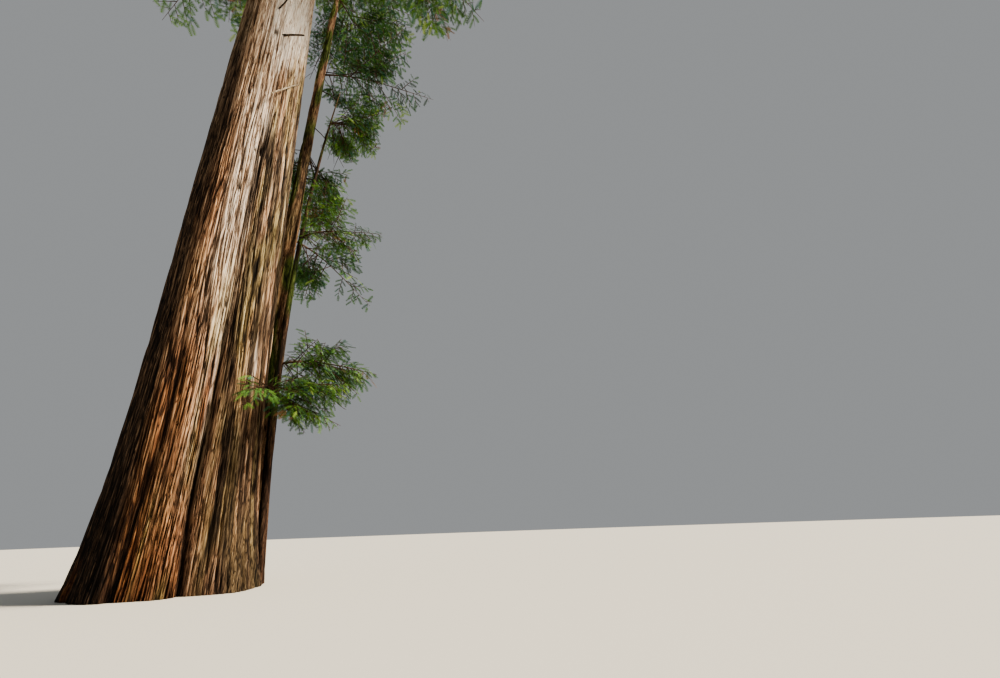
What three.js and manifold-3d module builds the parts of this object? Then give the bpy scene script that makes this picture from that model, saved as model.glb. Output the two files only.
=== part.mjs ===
// A redwood clump: one old trunk with two younger stems that rise from the same root, at half its living size.
// Millimetres, +Z up. The origin is the middle of the flat cut at ground level, and -Y is the side seen first.
import * as THREE from "three";
import { mergeVertices } from "three/addons/utils/BufferGeometryUtils.js";
import Module from "manifold-3d";

const wasm = await Module();
wasm.setup();

// Main trunk: taper, root flare and lean
const TREE_HEIGHT = 40000;
const TRUNK_RADIUS = 745;
const TRUNK_TAPER = 1.05;
const TRUNK_TIP_RADIUS = 12;
const FLARE = 160;
const FLARE_HEIGHT = 1000;
const TRUNK_LEAN = 620;
const LEAN_HEIGHT = 20000;
const TRUNK_SIDES = 40;
const TRUNK_RINGS = 21;
const RING_CROWDING = 1.5;

// Seams where the old leaders fused: bearing and width in degrees, depth as a share of the radius
const SEAMS = [
  { bearing: -80, turn: 0, depth: 0.17, width: 13, top: 8500 },
  { bearing: 62, turn: -9, depth: 0.14, width: 15, top: 10000 },
  { bearing: 128, turn: 12, depth: 0.09, width: 12, top: 6500 },
  { bearing: 196, turn: 8, depth: 0.1, width: 14, top: 5000 },
  { bearing: 238, turn: 10, depth: 0.05, width: 12, top: 4000 },
];
const SEAM_TURN_HEIGHT = 5500;

// Long lobes round the trunk, stronger at its foot
const LOBES = [
  { count: 2, share: 0.02, phase: 0.6 },
  { count: 3, share: 0.014, phase: 2.1 },
  { count: 9, share: 0.01, phase: 1.3 },
];
const FOOT_LOBES = 1.6;

// Younger stems: foot, a point at half of the run, and tip
const SECOND_STEM = {
  name: "second_stem",
  foot: [800, 300, 0],
  middle: [640, 200, 6500],
  tip: [900, 330, 17000],
  radius: 165,
  tipRadius: 12,
  taper: 0.75,
  sides: 8,
  rings: 10,
};
const SPROUT_STEM = {
  name: "sprout_stem",
  foot: [965, 50, 0],
  middle: [770, 40, 4300],
  tip: [1060, 60, 8800],
  radius: 62,
  tipRadius: 8,
  taper: 0.6,
  sides: 6,
  rings: 8,
};

// Dead stubs: a foot inside the trunk, a free end, and the radius at each
const STUBS = [
  { name: "dead_stub_1", foot: [-240, -470, 8800], tip: [205, -740, 8840], radius: 17, tipRadius: 7 },
  { name: "dead_stub_2", foot: [300, -310, 8120], tip: [-80, -950, 6960], radius: 15, tipRadius: 13 },
  { name: "dead_stub_3", foot: [-350, -450, 9330], tip: [-140, -700, 9700], radius: 20, tipRadius: 8 },
];

// Crown outline: its lowest bough, its widest radius, how it narrows upwards and its rounded underside
const CROWN = { base: 13600, radius: 4100, narrowing: 0.72, underside: 0.68, undersideShare: 0.22 };

// Boughs spiral up the trunk. Pairs give the value at the lowest and at the highest bough.
const BOUGHS = {
  count: 20,
  top: 33600,
  crowding: 0.92,
  firstBearing: 205,
  goldenAngle: 137.508,
  bearingPlay: 9,
  reachPlay: [0.9, 1.08],
  bareShare: 0.25,
  rise: [0.1, 0.5],
  fall: [0.34, 0.12],
  radius: [88, 37],
  tipShare: 0.5,
  buried: 0.4,
  sides: 5,
  rings: 2,
};

// Bearings that low boughs leave free for the second stem, in degrees
const STEM_BERTH = { bearing: 18, half: 34, above: 600 };

// A crown mass as shares of its bough's reach. Pairs give the value at the lowest and at the highest bough.
const CROWN_MASS = {
  length: 0.475,
  spread: [0.64, 0.86],
  droop: [0.3, 0.12],
  twigs: 6,
  turn: [34, 98],
  slope: [-1.3, 0.9],
};

// Masses round the leader, from the lowest to the highest
const LEADER_MASSES = {
  count: 5,
  height: [34400, 38500],
  firstBearing: 60,
  rise: [0.3, 1.5],
  length: [1250, 760],
  spread: [1350, 950],
  radius: [34, 13],
};

// Masses on the younger stems, by share of the stem's run
const SECOND_STEM_MASSES = [
  { at: 0.42, bearing: 30, rise: 0.15, length: 1000, spread: 980, twigs: 4 },
  { at: 0.54, bearing: 66, rise: 0.1, length: 1100, spread: 1000 },
  { at: 0.65, bearing: -26, rise: 0.15, length: 1200, spread: 1050 },
  { at: 0.78, bearing: 44, rise: 0.35, length: 1150, spread: 1000 },
  { at: 0.92, bearing: -20, rise: 1.0, length: 1000, spread: 950 },
];
const SPROUT_MASSES = [
  { at: 0.285, bearing: 254, rise: 0.12, length: 740, spread: 760, twigs: 5, slope: [-0.5, 0.3] },
  { at: 0.34, bearing: -36, rise: 0.2, length: 700, spread: 760, twigs: 5, slope: [-0.5, 0.3] },
  { at: 0.6, bearing: -42, rise: 0.25, length: 700, spread: 720 },
  { at: 0.9, bearing: 24, rise: 1.2, length: 620, spread: 700 },
];
const STEM_MASS = { radius: 22, droop: 0.22, twigs: 3, turn: [36, 72], slope: [-1.1, 0.6] };

// How twigs leave the stem of a mass, as ranges: share of the stem and lengths. They turn aside by the mass's
// own range in degrees. Their slopes go round its own range, a golden share of it further with each twig, give
// or take slopePlay.
const TWIGS = {
  along: [0.08, 0.86],
  play: 0.5,
  slopeStep: 0.618,
  slopePlay: 0.3,
  length: [0.42, 0.62],
  tipShorter: 0.5,
  radius: [17, 11],
  stemTipShare: 0.35,
};

// Sprays of needles: toothed blades, larger than life, each in place of a whole spray
const SPRAY = {
  halfOutline: [[0, 0.12], [0.42, 1], [0.5, 0.5]],
  slimness: 0.6,
  thickness: 24,
  length: [0.95, 1.25],
  endLength: 1.15,
  tilt: 0.8,
  endTilt: 0.2,
  sunk: 60,
  sizesTried: [1, 0.75, 0.5, 0.35],
  mostOverlap: 0.12,
};

// Gaps
const GAP = 0.3;
const CUT_CLEARANCE = 0.45;
const SPACE_MARGIN = 35;
const LIMB_CLEARANCE = 14;
const SPACE_MIDDLE = 0.6;

// Seeds of the random draws
const BOUGH_SEEDS = { first: 1000, step: 77 };
const MASS_SEEDS = { crown: 40, leader: 80, secondStem: 131, sprout: 126, step: 9 };

// Colours as the photograph shows them
const BARK = { color: 0x7d6350, roughness: 0.92, metalness: 0 };
const MOSSY_BARK = { color: 0x5d5540, roughness: 0.95, metalness: 0 };
const YOUNG_BARK = { color: 0x6b5140, roughness: 0.9, metalness: 0 };
const DEAD_WOOD = { color: 0x8f8172, roughness: 0.85, metalness: 0 };
const NEEDLES = { color: 0x4d7a33, roughness: 0.6, metalness: 0 };
const SHADE_NEEDLES = { color: 0x35582c, roughness: 0.65, metalness: 0 };

const UP = new THREE.Vector3(0, 0, 1);
const tree = new THREE.Group();

const mix = (a, b, t) => a + (b - a) * t;
const between = ([a, b], t) => mix(a, b, t);
const radians = THREE.MathUtils.degToRad;
const vector = (point) => new THREE.Vector3(...point);
const numbered = (prefix, number) => `${prefix}_${String(number + 1).padStart(2, "0")}`;

// A seeded source of numbers from 0 to 1
function seeded(seed) {
  let state = seed;
  return () => {
    state = (state * 1664525 + 1013904223) % 2 ** 32;
    return state / 2 ** 32;
  };
}

// The level direction of a bearing in degrees, counted from +X towards +Y
function level(bearing) {
  return new THREE.Vector3(Math.cos(radians(bearing)), Math.sin(radians(bearing)), 0);
}

// A direction with this bearing that rises by slope for each unit outwards
function sloping(bearing, slope) {
  return level(bearing).addScaledVector(UP, slope).normalize();
}

// A geometry with only its positions, the shared ones merged
function welded(geometry) {
  geometry.deleteAttribute("normal");
  geometry.deleteAttribute("uv");
  return mergeVertices(geometry);
}

// A closed geometry as a solid
function solid(geometry) {
  const shared = welded(geometry);
  const vertProperties = new Float32Array(shared.attributes.position.array);
  const triVerts = new Uint32Array(shared.index.array);
  return new wasm.Manifold(new wasm.Mesh({ numProp: 3, vertProperties, triVerts }));
}

// Adds a solid to the tree as a named mesh with its own finish
function add(name, body, finish) {
  const { vertProperties, triVerts } = body.getMesh();
  const geometry = new THREE.BufferGeometry();
  geometry.setAttribute("position", new THREE.BufferAttribute(vertProperties, 3));
  geometry.setIndex(new THREE.BufferAttribute(triVerts, 1));
  const mesh = new THREE.Mesh(geometry, new THREE.MeshStandardMaterial(finish));
  mesh.name = name;
  tree.add(mesh);
}

// The largest piece of a solid, without loose scrap
function largest(body) {
  return body.decompose().reduce((a, b) => (b.volume() > a.volume() ? b : a));
}

// A unit post whose vertices move to place(share of its height, bearing in radians, share of its radius)
function shapedPost(sides, rings, place) {
  const post = welded(new THREE.CylinderGeometry(1, 1, 1, sides, rings));
  const { position } = post.attributes;
  const v = new THREE.Vector3();
  for (let i = 0; i < position.count; i++) {
    v.fromBufferAttribute(position, i);
    const at = place(v.y + 0.5, Math.atan2(v.x, v.z), Math.round(Math.hypot(v.x, v.z)));
    position.setXYZ(i, at.x, at.y, at.z);
  }
  return post;
}

// Trunk

function trunkRadius(z) {
  const taper = TRUNK_RADIUS * (1 - z / TREE_HEIGHT) ** TRUNK_TAPER;
  return Math.max(TRUNK_TIP_RADIUS, taper + FLARE * Math.exp(-z / FLARE_HEIGHT));
}

function trunkMiddle(z) {
  return new THREE.Vector3(-TRUNK_LEAN * (1 - Math.exp(-z / LEAN_HEIGHT)), 0, z);
}

// How far the trunk's surface stands out at a bearing in radians, as a share of its radius at that height
function trunkSection(bearing, z) {
  const atFoot = Math.exp(-z / FLARE_HEIGHT);
  const lobes = LOBES.map(({ count, share, phase }) => {
    return share * (1 + FOOT_LOBES * atFoot) * Math.cos(count * bearing + phase);
  });
  const seams = SEAMS.map(({ bearing: start, turn, depth, width, top }) => {
    const middle = radians(start + turn * Math.min(1, z / SEAM_TURN_HEIGHT));
    const away = Math.atan2(Math.sin(bearing - middle), Math.cos(bearing - middle)) / radians(width);
    return -depth * Math.sqrt(Math.max(0, 1 - z / top)) * Math.exp(-away * away);
  });
  return [...lobes, ...seams].reduce((sum, share) => sum + share, 1);
}

// The trunk with its surface moved outwards by swell
function trunk(swell = 0) {
  const post = shapedPost(TRUNK_SIDES, TRUNK_RINGS, (t, bearing, out) => {
    const z = TREE_HEIGHT * t ** RING_CROWDING;
    const r = out * (trunkRadius(z) * trunkSection(bearing, z) + swell);
    const surface = new THREE.Vector3(r * Math.cos(bearing), r * Math.sin(bearing), swell * (2 * t - 1));
    return surface.add(trunkMiddle(z));
  });
  return solid(post);
}

// Limbs

// A tapering limb along a curve, flat at both ends, with its surface moved outwards by swell
function limb({ curve, radiusAt, sides, rings }, swell = 0) {
  const post = shapedPost(sides, rings, (t, bearing, out) => {
    const along = curve.getTangent(t);
    const upright = Math.abs(along.z) > 0.9;
    const side = new THREE.Vector3().crossVectors(upright ? level(0) : UP, along).normalize();
    const over = new THREE.Vector3().crossVectors(side, along);
    const r = out * (radiusAt(t) + swell);
    return curve
      .getPoint(t)
      .addScaledVector(side, r * Math.sin(bearing))
      .addScaledVector(over, r * Math.cos(bearing))
      .addScaledVector(along, swell * (2 * t - 1));
  });
  return solid(post);
}

// A straight limb between two points
function straight(from, to, radii, sides) {
  const curve = new THREE.LineCurve3(from, to);
  return limb({ curve, radiusAt: (t) => between(radii, t), sides, rings: 1 });
}

// A younger stem's limb: a curve through its foot, middle and tip
function youngStem({ foot, middle, tip, radius, tipRadius, taper, sides, rings }) {
  const control = vector(middle).multiplyScalar(2).addScaledVector(vector(foot), -0.5);
  control.addScaledVector(vector(tip), -0.5);
  const curve = new THREE.QuadraticBezierCurve3(vector(foot), control, vector(tip));
  const radiusAt = (t) => Math.max(tipRadius, radius * (1 - t) ** taper);
  return { curve, radiusAt, sides, rings };
}

// The limb's solid clear of the trunk and cut flat at the ground
function standing(stem, trunkCutter) {
  return largest(limb(stem).subtract(trunkCutter).trimByPlane([0, 0, 1], 0));
}

// How far the crown reaches from the trunk at a height
function crownReach(z) {
  const s = (z - CROWN.base) / (TREE_HEIGHT - CROWN.base);
  const underside = mix(CROWN.underside, 1, Math.min(1, s / CROWN.undersideShare));
  return CROWN.radius * (1 - s) ** CROWN.narrowing * underside;
}

// A bough's bearing, moved aside where it would meet the second stem
function boughBearing(number, z, play) {
  const bearing = BOUGHS.firstBearing + number * BOUGHS.goldenAngle + play;
  const offStem = THREE.MathUtils.euclideanModulo(bearing - STEM_BERTH.bearing + 180, 360) - 180;
  const low = z < SECOND_STEM.tip[2] + STEM_BERTH.above;
  if (!low || Math.abs(offStem) > STEM_BERTH.half) return bearing;
  return STEM_BERTH.bearing + STEM_BERTH.half * Math.sign(offStem);
}

// The bough of one number, counted from the lowest
function bough(number) {
  const random = seeded(BOUGH_SEEDS.first + number * BOUGH_SEEDS.step);
  const s = number / (BOUGHS.count - 1);
  const z = mix(CROWN.base, BOUGHS.top, s ** BOUGHS.crowding);
  const bearing = boughBearing(number, z, BOUGHS.bearingPlay * mix(-1, 1, random()));
  const reach = crownReach(z) * between(BOUGHS.reachPlay, random());
  const length = trunkRadius(z) + reach * BOUGHS.bareShare;
  const rise = between(BOUGHS.rise, s);
  const fall = between(BOUGHS.fall, s);
  const root = trunkMiddle(z).addScaledVector(level(bearing), trunkRadius(z) * BOUGHS.buried);
  const alongBough = (share, slope) =>
    root.clone().addScaledVector(level(bearing), length * share).addScaledVector(UP, length * slope);
  const curve = new THREE.QuadraticBezierCurve3(root, alongBough(0.5, 0.5 * rise), alongBough(1, rise - fall));
  const thick = between(BOUGHS.radius, s);
  const radiusAt = (t) => thick * mix(1, BOUGHS.tipShare, t);
  return { number, s, bearing, reach, curve, radiusAt, sides: BOUGHS.sides, rings: BOUGHS.rings };
}

// Masses of needles: name, seed and finish, and the start, heading, length, droop and radius of the stem

// The mass that grows on from a bough's tip
function crownMass({ number, s, bearing, reach, curve, radiusAt }) {
  const heading = curve.getTangent(1);
  return {
    name: numbered("crown_mass", number),
    start: curve.getPoint(1).addScaledVector(heading, GAP),
    heading,
    bearing,
    length: reach * CROWN_MASS.length,
    droop: between(CROWN_MASS.droop, s),
    spread: reach * between(CROWN_MASS.spread, s),
    radius: radiusAt(1),
    twigs: CROWN_MASS.twigs,
    turn: CROWN_MASS.turn,
    slope: CROWN_MASS.slope,
    seed: MASS_SEEDS.crown + number,
    finish: NEEDLES,
  };
}

// A mass that leaves the trunk or a younger stem from within
function sideMass({ bearing, rise, ...rest }) {
  return { ...STEM_MASS, ...rest, bearing, heading: sloping(bearing, rise), fromWithin: true };
}

function leaderMass(number) {
  const s = number / (LEADER_MASSES.count - 1);
  return sideMass({
    name: numbered("leader_mass", number),
    start: trunkMiddle(between(LEADER_MASSES.height, s)),
    bearing: LEADER_MASSES.firstBearing + number * BOUGHS.goldenAngle,
    rise: between(LEADER_MASSES.rise, s),
    length: between(LEADER_MASSES.length, s),
    spread: between(LEADER_MASSES.spread, s),
    radius: between(LEADER_MASSES.radius, s),
    seed: MASS_SEEDS.leader + number,
    finish: NEEDLES,
  });
}

function stemMasses(prefix, { curve }, places, seed, finish) {
  return places.map(({ at, ...place }, number) => {
    const name = numbered(prefix, number);
    return sideMass({ ...place, name, start: curve.getPoint(at), seed: seed + MASS_SEEDS.step * number, finish });
  });
}

// The stem of a mass goes out along its heading and then droops
function massStem({ start, heading, length, droop, radius }) {
  const middle = start.clone().addScaledVector(heading, length / 2);
  const tip = start.clone().addScaledVector(heading, length).addScaledVector(UP, -droop * length);
  const curve = new THREE.QuadraticBezierCurve3(start, middle, tip);
  return { curve, radiusAt: (t) => radius * mix(1, TWIGS.stemTipShare, t), sides: 3, rings: 2 };
}

// A toothed blade from a point along a direction, with its width towards side
function spray(from, along, side, length) {
  const half = (length * SPRAY.slimness) / 2;
  const left = SPRAY.halfOutline.map(([x, y]) => new THREE.Vector2(x * length, y * half));
  const right = left.map(({ x, y }) => new THREE.Vector2(x, -y)).reverse();
  const outline = new THREE.Shape([...left, new THREE.Vector2(length, 0), ...right]);
  const blade = new THREE.ExtrudeGeometry(outline, { depth: SPRAY.thickness, bevelEnabled: false });
  blade.translate(0, 0, -SPRAY.thickness / 2);
  const across = side.clone().addScaledVector(along, -side.dot(along)).normalize();
  const over = new THREE.Vector3().crossVectors(along, across);
  return solid(blade.applyMatrix4(new THREE.Matrix4().makeBasis(along, across, over).setPosition(from)));
}

// True where a solid keeps to its own space: nearer to that mass's middle than to any other's
function insideSpace(body, middle, others) {
  const { vertProperties } = body.getMesh();
  const v = new THREE.Vector3();
  for (let i = 0; i < vertProperties.length; i += 3) {
    v.fromArray(vertProperties, i);
    const past = (other) =>
      (v.distanceToSquared(middle) - v.distanceToSquared(other)) / (2 * other.distanceTo(middle));
    if (v.z > TREE_HEIGHT || others.some((other) => past(other) > -SPACE_MARGIN)) return false;
  }
  return true;
}

// A limb's swollen solid and its box, which foliage keeps clear of
function berth(swollen) {
  return { swollen, box: swollen.boundingBox() };
}

// True where a solid meets any of the berths
function meets(body, berths) {
  const { min, max } = body.boundingBox();
  const near = ({ box }) => [0, 1, 2].every((k) => min[k] < box.max[k] && max[k] > box.min[k]);
  return berths.filter(near).some(({ swollen }) => body.intersect(swollen).volume() > 0);
}

// A mass's solid: its stem, with twigs to both sides and a spray at the end of each and of the stem
function mass(spec, stem, middle, others, berths, cutters) {
  const { curve } = stem;
  const random = seeded(spec.seed);
  let body = limb(stem);
  if (spec.fromWithin) body = cutters.reduce((rest, cutter) => largest(rest.subtract(cutter)), body);
  const crowded = (part) => body.intersect(part).volume() > SPRAY.mostOverlap * part.volume();
  const fits = (part) => insideSpace(part, middle, others) && !meets(part, berths) && !crowded(part);
  const fuseLargest = (make) => {
    const size = SPRAY.sizesTried.find((share) => fits(make(share)));
    if (size) body = body.add(make(size));
  };

  for (let i = 0; i < spec.twigs; i++) {
    const t = between(TWIGS.along, (i + random() * TWIGS.play) / (spec.twigs - TWIGS.play));
    const bearing = spec.bearing + (i % 2 ? -1 : 1) * between(spec.turn, random());
    const slopeShare = (i * TWIGS.slopeStep + random() * TWIGS.slopePlay) % 1;
    const along = sloping(bearing, between(spec.slope, slopeShare));
    const length = spec.spread * mix(1, TWIGS.tipShorter, t) * between(TWIGS.length, random());
    const side = sloping(bearing + 90, SPRAY.tilt * mix(-1, 1, random()));
    const sprayLength = spec.spread * between(SPRAY.length, random());
    const root = curve.getPoint(t);
    fuseLargest((share) => {
      const end = root.clone().addScaledVector(along, length * share);
      const sprayRoot = end.clone().addScaledVector(along, -SPRAY.sunk);
      const twig = straight(root, end, TWIGS.radius, 3);
      return twig.add(spray(sprayRoot, along, side, sprayLength * share));
    });
  }

  const end = curve.getTangent(1);
  const endRoot = curve.getPoint(1).addScaledVector(end, -SPRAY.sunk);
  const side = sloping(spec.bearing + 90, SPRAY.endTilt * mix(-1, 1, random()));
  fuseLargest((share) => spray(endRoot, end, side, spec.spread * SPRAY.endLength * share));
  return largest(body);
}

// Trunk, stems, boughs and stubs
const second = youngStem(SECOND_STEM);
const sprout = youngStem(SPROUT_STEM);
const boughs = Array.from({ length: BOUGHS.count }, (_, number) => bough(number));
const trunkCutter = trunk(CUT_CLEARANCE);

add("trunk", trunk(), BARK);
add(SECOND_STEM.name, standing(second, trunkCutter), MOSSY_BARK);
add(SPROUT_STEM.name, standing(sprout, trunkCutter), YOUNG_BARK);
for (const each of boughs) {
  add(numbered("bough", each.number), largest(limb(each).subtract(trunkCutter)), BARK);
}
for (const { name, foot, tip, radius, tipRadius } of STUBS) {
  const wood = straight(vector(foot), vector(tip), [radius, tipRadius], 6);
  add(name, largest(wood.subtract(trunkCutter)), DEAD_WOOD);
}

// Masses of needles, each in its own space and clear of every limb and of the other masses' stems
const specs = [
  ...boughs.map(crownMass),
  ...Array.from({ length: LEADER_MASSES.count }, (_, number) => leaderMass(number)),
  ...stemMasses("second_stem_mass", second, SECOND_STEM_MASSES, MASS_SEEDS.secondStem, SHADE_NEEDLES),
  ...stemMasses("sprout_mass", sprout, SPROUT_MASSES, MASS_SEEDS.sprout, NEEDLES),
];
const stems = specs.map(massStem);
const middles = stems.map(({ curve }) => curve.getPoint(SPACE_MIDDLE));
const limbBerths = [second, sprout, ...boughs].map((each) => berth(limb(each, LIMB_CLEARANCE)));
const stemBerths = stems.map((each) => berth(limb(each, LIMB_CLEARANCE)));
const woodBerths = [berth(trunk(LIMB_CLEARANCE)), ...limbBerths];
const cutters = [trunkCutter, limb(second, CUT_CLEARANCE), limb(sprout, CUT_CLEARANCE)];
specs.forEach((spec, i) => {
  const isOther = (_, k) => k !== i;
  const berths = [...woodBerths, ...stemBerths.filter(isOther)];
  add(spec.name, mass(spec, stems[i], middles[i], middles.filter(isOther), berths, cutters), spec.finish);
});

export default tree;
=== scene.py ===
"""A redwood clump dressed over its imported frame: bark with its relief, boughs, twigs and sprays of needles.

Sizes are in metres and +Z is up. The origin is the middle of the flat cut at ground level, and -Y is the side
that is seen first. Bearings are in degrees, counted from +X towards +Y.
"""

from __future__ import annotations

import logging
import math
from collections.abc import Callable, Iterable, Sequence
from dataclasses import dataclass, field
from enum import Enum

import bmesh
import bpy
import numpy as np
from mathutils import Matrix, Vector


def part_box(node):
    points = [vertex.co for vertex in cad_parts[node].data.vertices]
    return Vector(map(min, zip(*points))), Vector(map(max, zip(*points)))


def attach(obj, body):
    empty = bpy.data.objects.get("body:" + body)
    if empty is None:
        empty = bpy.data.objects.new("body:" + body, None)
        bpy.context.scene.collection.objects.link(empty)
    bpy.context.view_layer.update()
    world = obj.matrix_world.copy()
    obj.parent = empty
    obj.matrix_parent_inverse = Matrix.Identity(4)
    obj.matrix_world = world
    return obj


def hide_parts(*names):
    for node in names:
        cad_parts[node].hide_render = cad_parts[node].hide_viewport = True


Array = np.ndarray

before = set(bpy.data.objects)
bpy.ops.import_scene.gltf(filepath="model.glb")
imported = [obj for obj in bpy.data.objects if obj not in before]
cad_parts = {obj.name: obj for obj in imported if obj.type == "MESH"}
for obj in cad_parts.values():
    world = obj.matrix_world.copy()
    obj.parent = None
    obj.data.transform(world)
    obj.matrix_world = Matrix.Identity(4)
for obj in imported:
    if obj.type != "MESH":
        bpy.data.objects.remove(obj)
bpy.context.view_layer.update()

UP = np.array((0.0, 0.0, 1.0))
GOLDEN_ANGLE = 137.508
MOST_TRIANGLES = 190_000

log = logging.getLogger("redwood")


class Slot(Enum):
    """The record's material slots."""

    BARK = "bark"
    MOSSY_BARK = "mossy_bark"
    YOUNG_BARK = "young_bark"
    DEAD_WOOD = "dead_wood"
    NEEDLES = "needles"
    SHADE_NEEDLES = "shade_needles"


class Mark(Enum):
    """What a bark mesh carries at each point for its finish, from 0 to 1."""

    CREST = "crest"
    # Grey weathered bark; on the trunk it also paints light, paler high up and on its lit right side.
    PALE = "pale"
    LICHEN = "lichen"
    # Damp bark, and painted shade: the trunk's side under its lean, its seams, streaks, knot holes and the
    # right of its foot, and the young stems' shaded sides.
    DAMP = "damp"
    # Bare bark, and painted light on the trunk's front.
    BARE = "bare"
    MOSS = "moss"


Marks = dict[Mark, Array | float]


class Tint(Enum):
    """The plain colours that sprays of needles are dealt, in the order of their mesh's materials."""

    DEEP = 0
    MID = 1
    FRESH = 2
    TIP = 3
    COOL = 4
    DEAD = 5


class Kind(Enum):
    """The kinds of mass, by the limb that each grows on."""

    CROWN = "crown"
    LEADER = "leader"
    SECOND_STEM = "second_stem"
    SPROUT = "sprout"


# Small sums


def mix(a: float | Array, b: float | Array, t: float | Array) -> float | Array:
    """The value that lies a share t of the way from a to b."""
    return a + (b - a) * t


def smooth(low: float, high: float, x: Array) -> Array:
    """A soft step.

    Args:
        low: Where the step starts.
        high: Where it ends.
        x: The values to test.

    Returns:
        0 below low, 1 above high and a smooth rise between them.
    """
    t = np.clip((x - low) / (high - low), 0, 1)
    return t * t * (3 - 2 * t)


def unit(v: Array) -> Array:
    """Vectors along the last axis, each at a length of 1."""
    return v / np.linalg.norm(v, axis=-1, keepdims=True)


def turned(degrees: float | Array) -> float | Array:
    """An angle in degrees brought between -180 and 180."""
    return (degrees + 180) % 360 - 180


def level(bearing: float) -> Array:
    """The level direction of a bearing."""
    return np.array((math.cos(math.radians(bearing)), math.sin(math.radians(bearing)), 0.0))


def sloping(bearing: float, slope: float) -> Array:
    """A direction with this bearing that rises by slope for each unit outwards."""
    return unit(level(bearing) + UP * slope)


@dataclass
class Seeded:
    """A seeded source of numbers from 0 to 1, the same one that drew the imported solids."""

    state: int

    def __call__(self) -> float:
        """The next number."""
        self.state = (self.state * 1664525 + 1013904223) % 2**32
        return self.state / 2**32


@dataclass(frozen=True)
class Curve:
    """A limb's middle line, bent once between its foot and its tip."""

    foot: Array
    control: Array
    tip: Array

    def point(self, t: float | Array) -> Array:
        """The point a share t along the line."""
        t = np.asarray(t, float)[..., None]
        return (1 - t) ** 2 * self.foot + 2 * t * (1 - t) * self.control + t**2 * self.tip

    def tangent(self, t: float | Array) -> Array:
        """The direction of the line at a share t along it."""
        t = np.asarray(t, float)[..., None]
        return unit((1 - t) * (self.control - self.foot) + t * (self.tip - self.control))


@dataclass
class Grain:
    """Smooth noise on a lattice that closes round a stem. Its spread is about 1 to either side of 0."""

    columns: int
    cell_height: float
    seed: int
    rows: int = 256
    gain: float = 2.0
    lattice: Array = field(init=False)

    def __post_init__(self) -> None:
        """Draws the lattice."""
        self.lattice = np.random.default_rng(self.seed).normal(size=(self.rows, self.columns))

    @staticmethod
    def weights(f: Array) -> tuple[Array, Array, Array, Array]:
        """How much of four lattice lines a point takes, from its share f of the middle cell.

        Args:
            f: Shares of the middle cell.

        Returns:
            The shares of the four lines.
        """
        return (
            (1 - f) ** 3 / 6,
            (3 * f**3 - 6 * f**2 + 4) / 6,
            (-3 * f**3 + 3 * f**2 + 3 * f + 1) / 6,
            f**3 / 6,
        )

    def __call__(self, turn: Array, height: Array) -> Array:
        """The noise at points on a stem.

        Args:
            turn: Each point's share of a full turn round the stem.
            height: Each point's height along it.

        Returns:
            One value for each point.
        """
        x, y = turn * self.columns, height / self.cell_height
        column, row = np.floor(x).astype(int), np.floor(y).astype(int)
        across, upwards = self.weights(x - column), self.weights(y - row)
        total = np.zeros_like(x)
        for i in range(4):
            for j in range(4):
                cell = self.lattice[(row + j - 1) % self.rows, (column + i - 1) % self.columns]
                total += across[i] * upwards[j] * cell
        return total * self.gain


def crest(noise: Array, furrow: float) -> Array:
    """Ridges that meet in narrow furrows.

    Args:
        noise: Smooth noise whose zero lines become the furrows.
        furrow: How wide the furrows are, as a share of the noise's spread.

    Returns:
        0 in a furrow and nearly 1 on a ridge.
    """
    return 1 - np.exp(-np.abs(noise) / furrow)


# Finishes


def linear(colour: int) -> tuple[float, float, float, float]:
    """An sRGB hex colour as linear red, green, blue and alpha.

    Args:
        colour: The colour as 0xRRGGBB.

    Returns:
        The linear values, with an alpha of 1.
    """
    shares = ((colour >> shift & 255) / 255 for shift in (16, 8, 0))
    red, green, blue = (c / 12.92 if c <= 0.04045 else ((c + 0.055) / 1.055) ** 2.4 for c in shares)
    return red, green, blue, 1.0


def add_node(
    tree: bpy.types.NodeTree, kind: str, inputs: dict[str | int, object] | None = None, **settings: object
) -> bpy.types.Node:
    """Adds a node with its settings and links.

    Args:
        tree: The material's or world's node tree.
        kind: The node's type, without its ShaderNode prefix.
        inputs: A value or a socket to link for each named or numbered input.
        **settings: The node's own settings.

    Returns:
        The new node.
    """
    made = tree.nodes.new(f"ShaderNode{kind}")
    for name, value in settings.items():
        setattr(made, name, value)
    for name, value in (inputs or {}).items():
        if isinstance(value, bpy.types.NodeSocket):
            tree.links.new(value, made.inputs[name])
        else:
            made.inputs[name].default_value = value
    return made


def new_material(name: str) -> tuple[bpy.types.Material, bpy.types.NodeTree]:
    """An empty node material and its tree.

    Args:
        name: Its name.

    Returns:
        The material and its tree.
    """
    material = bpy.data.materials.new(name)
    material.use_nodes = True
    material.node_tree.nodes.clear()
    return material, material.node_tree


@dataclass(frozen=True)
class Tones:
    """Bark's colours from its furrows to the lit edges of its ridges, with painted shade in the furrows and
    painted light on the edges.
    """

    furrow: int
    shade: int
    body: int
    light: int
    edge: int
    stops: tuple[float, ...] = (0.0, 0.28, 0.52, 0.78, 1.0)

    def ramp(self, tree: bpy.types.NodeTree, tone: bpy.types.NodeSocket) -> bpy.types.NodeSocket:
        """The colour of each tone.

        Args:
            tree: The node tree.
            tone: The socket of a tone from 0 in a furrow to 1 on an edge.

        Returns:
            The socket of the colour.
        """
        made = add_node(tree, "ValToRGB", {"Fac": tone})
        elements = made.color_ramp.elements
        colours = (self.furrow, self.shade, self.body, self.light, self.edge)
        for stop in self.stops[1:-1]:
            elements.new(stop)
        for element, stop, colour in zip(elements, self.stops, colours, strict=True):
            element.position, element.color = stop, linear(colour)
        return made.outputs["Color"]


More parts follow.
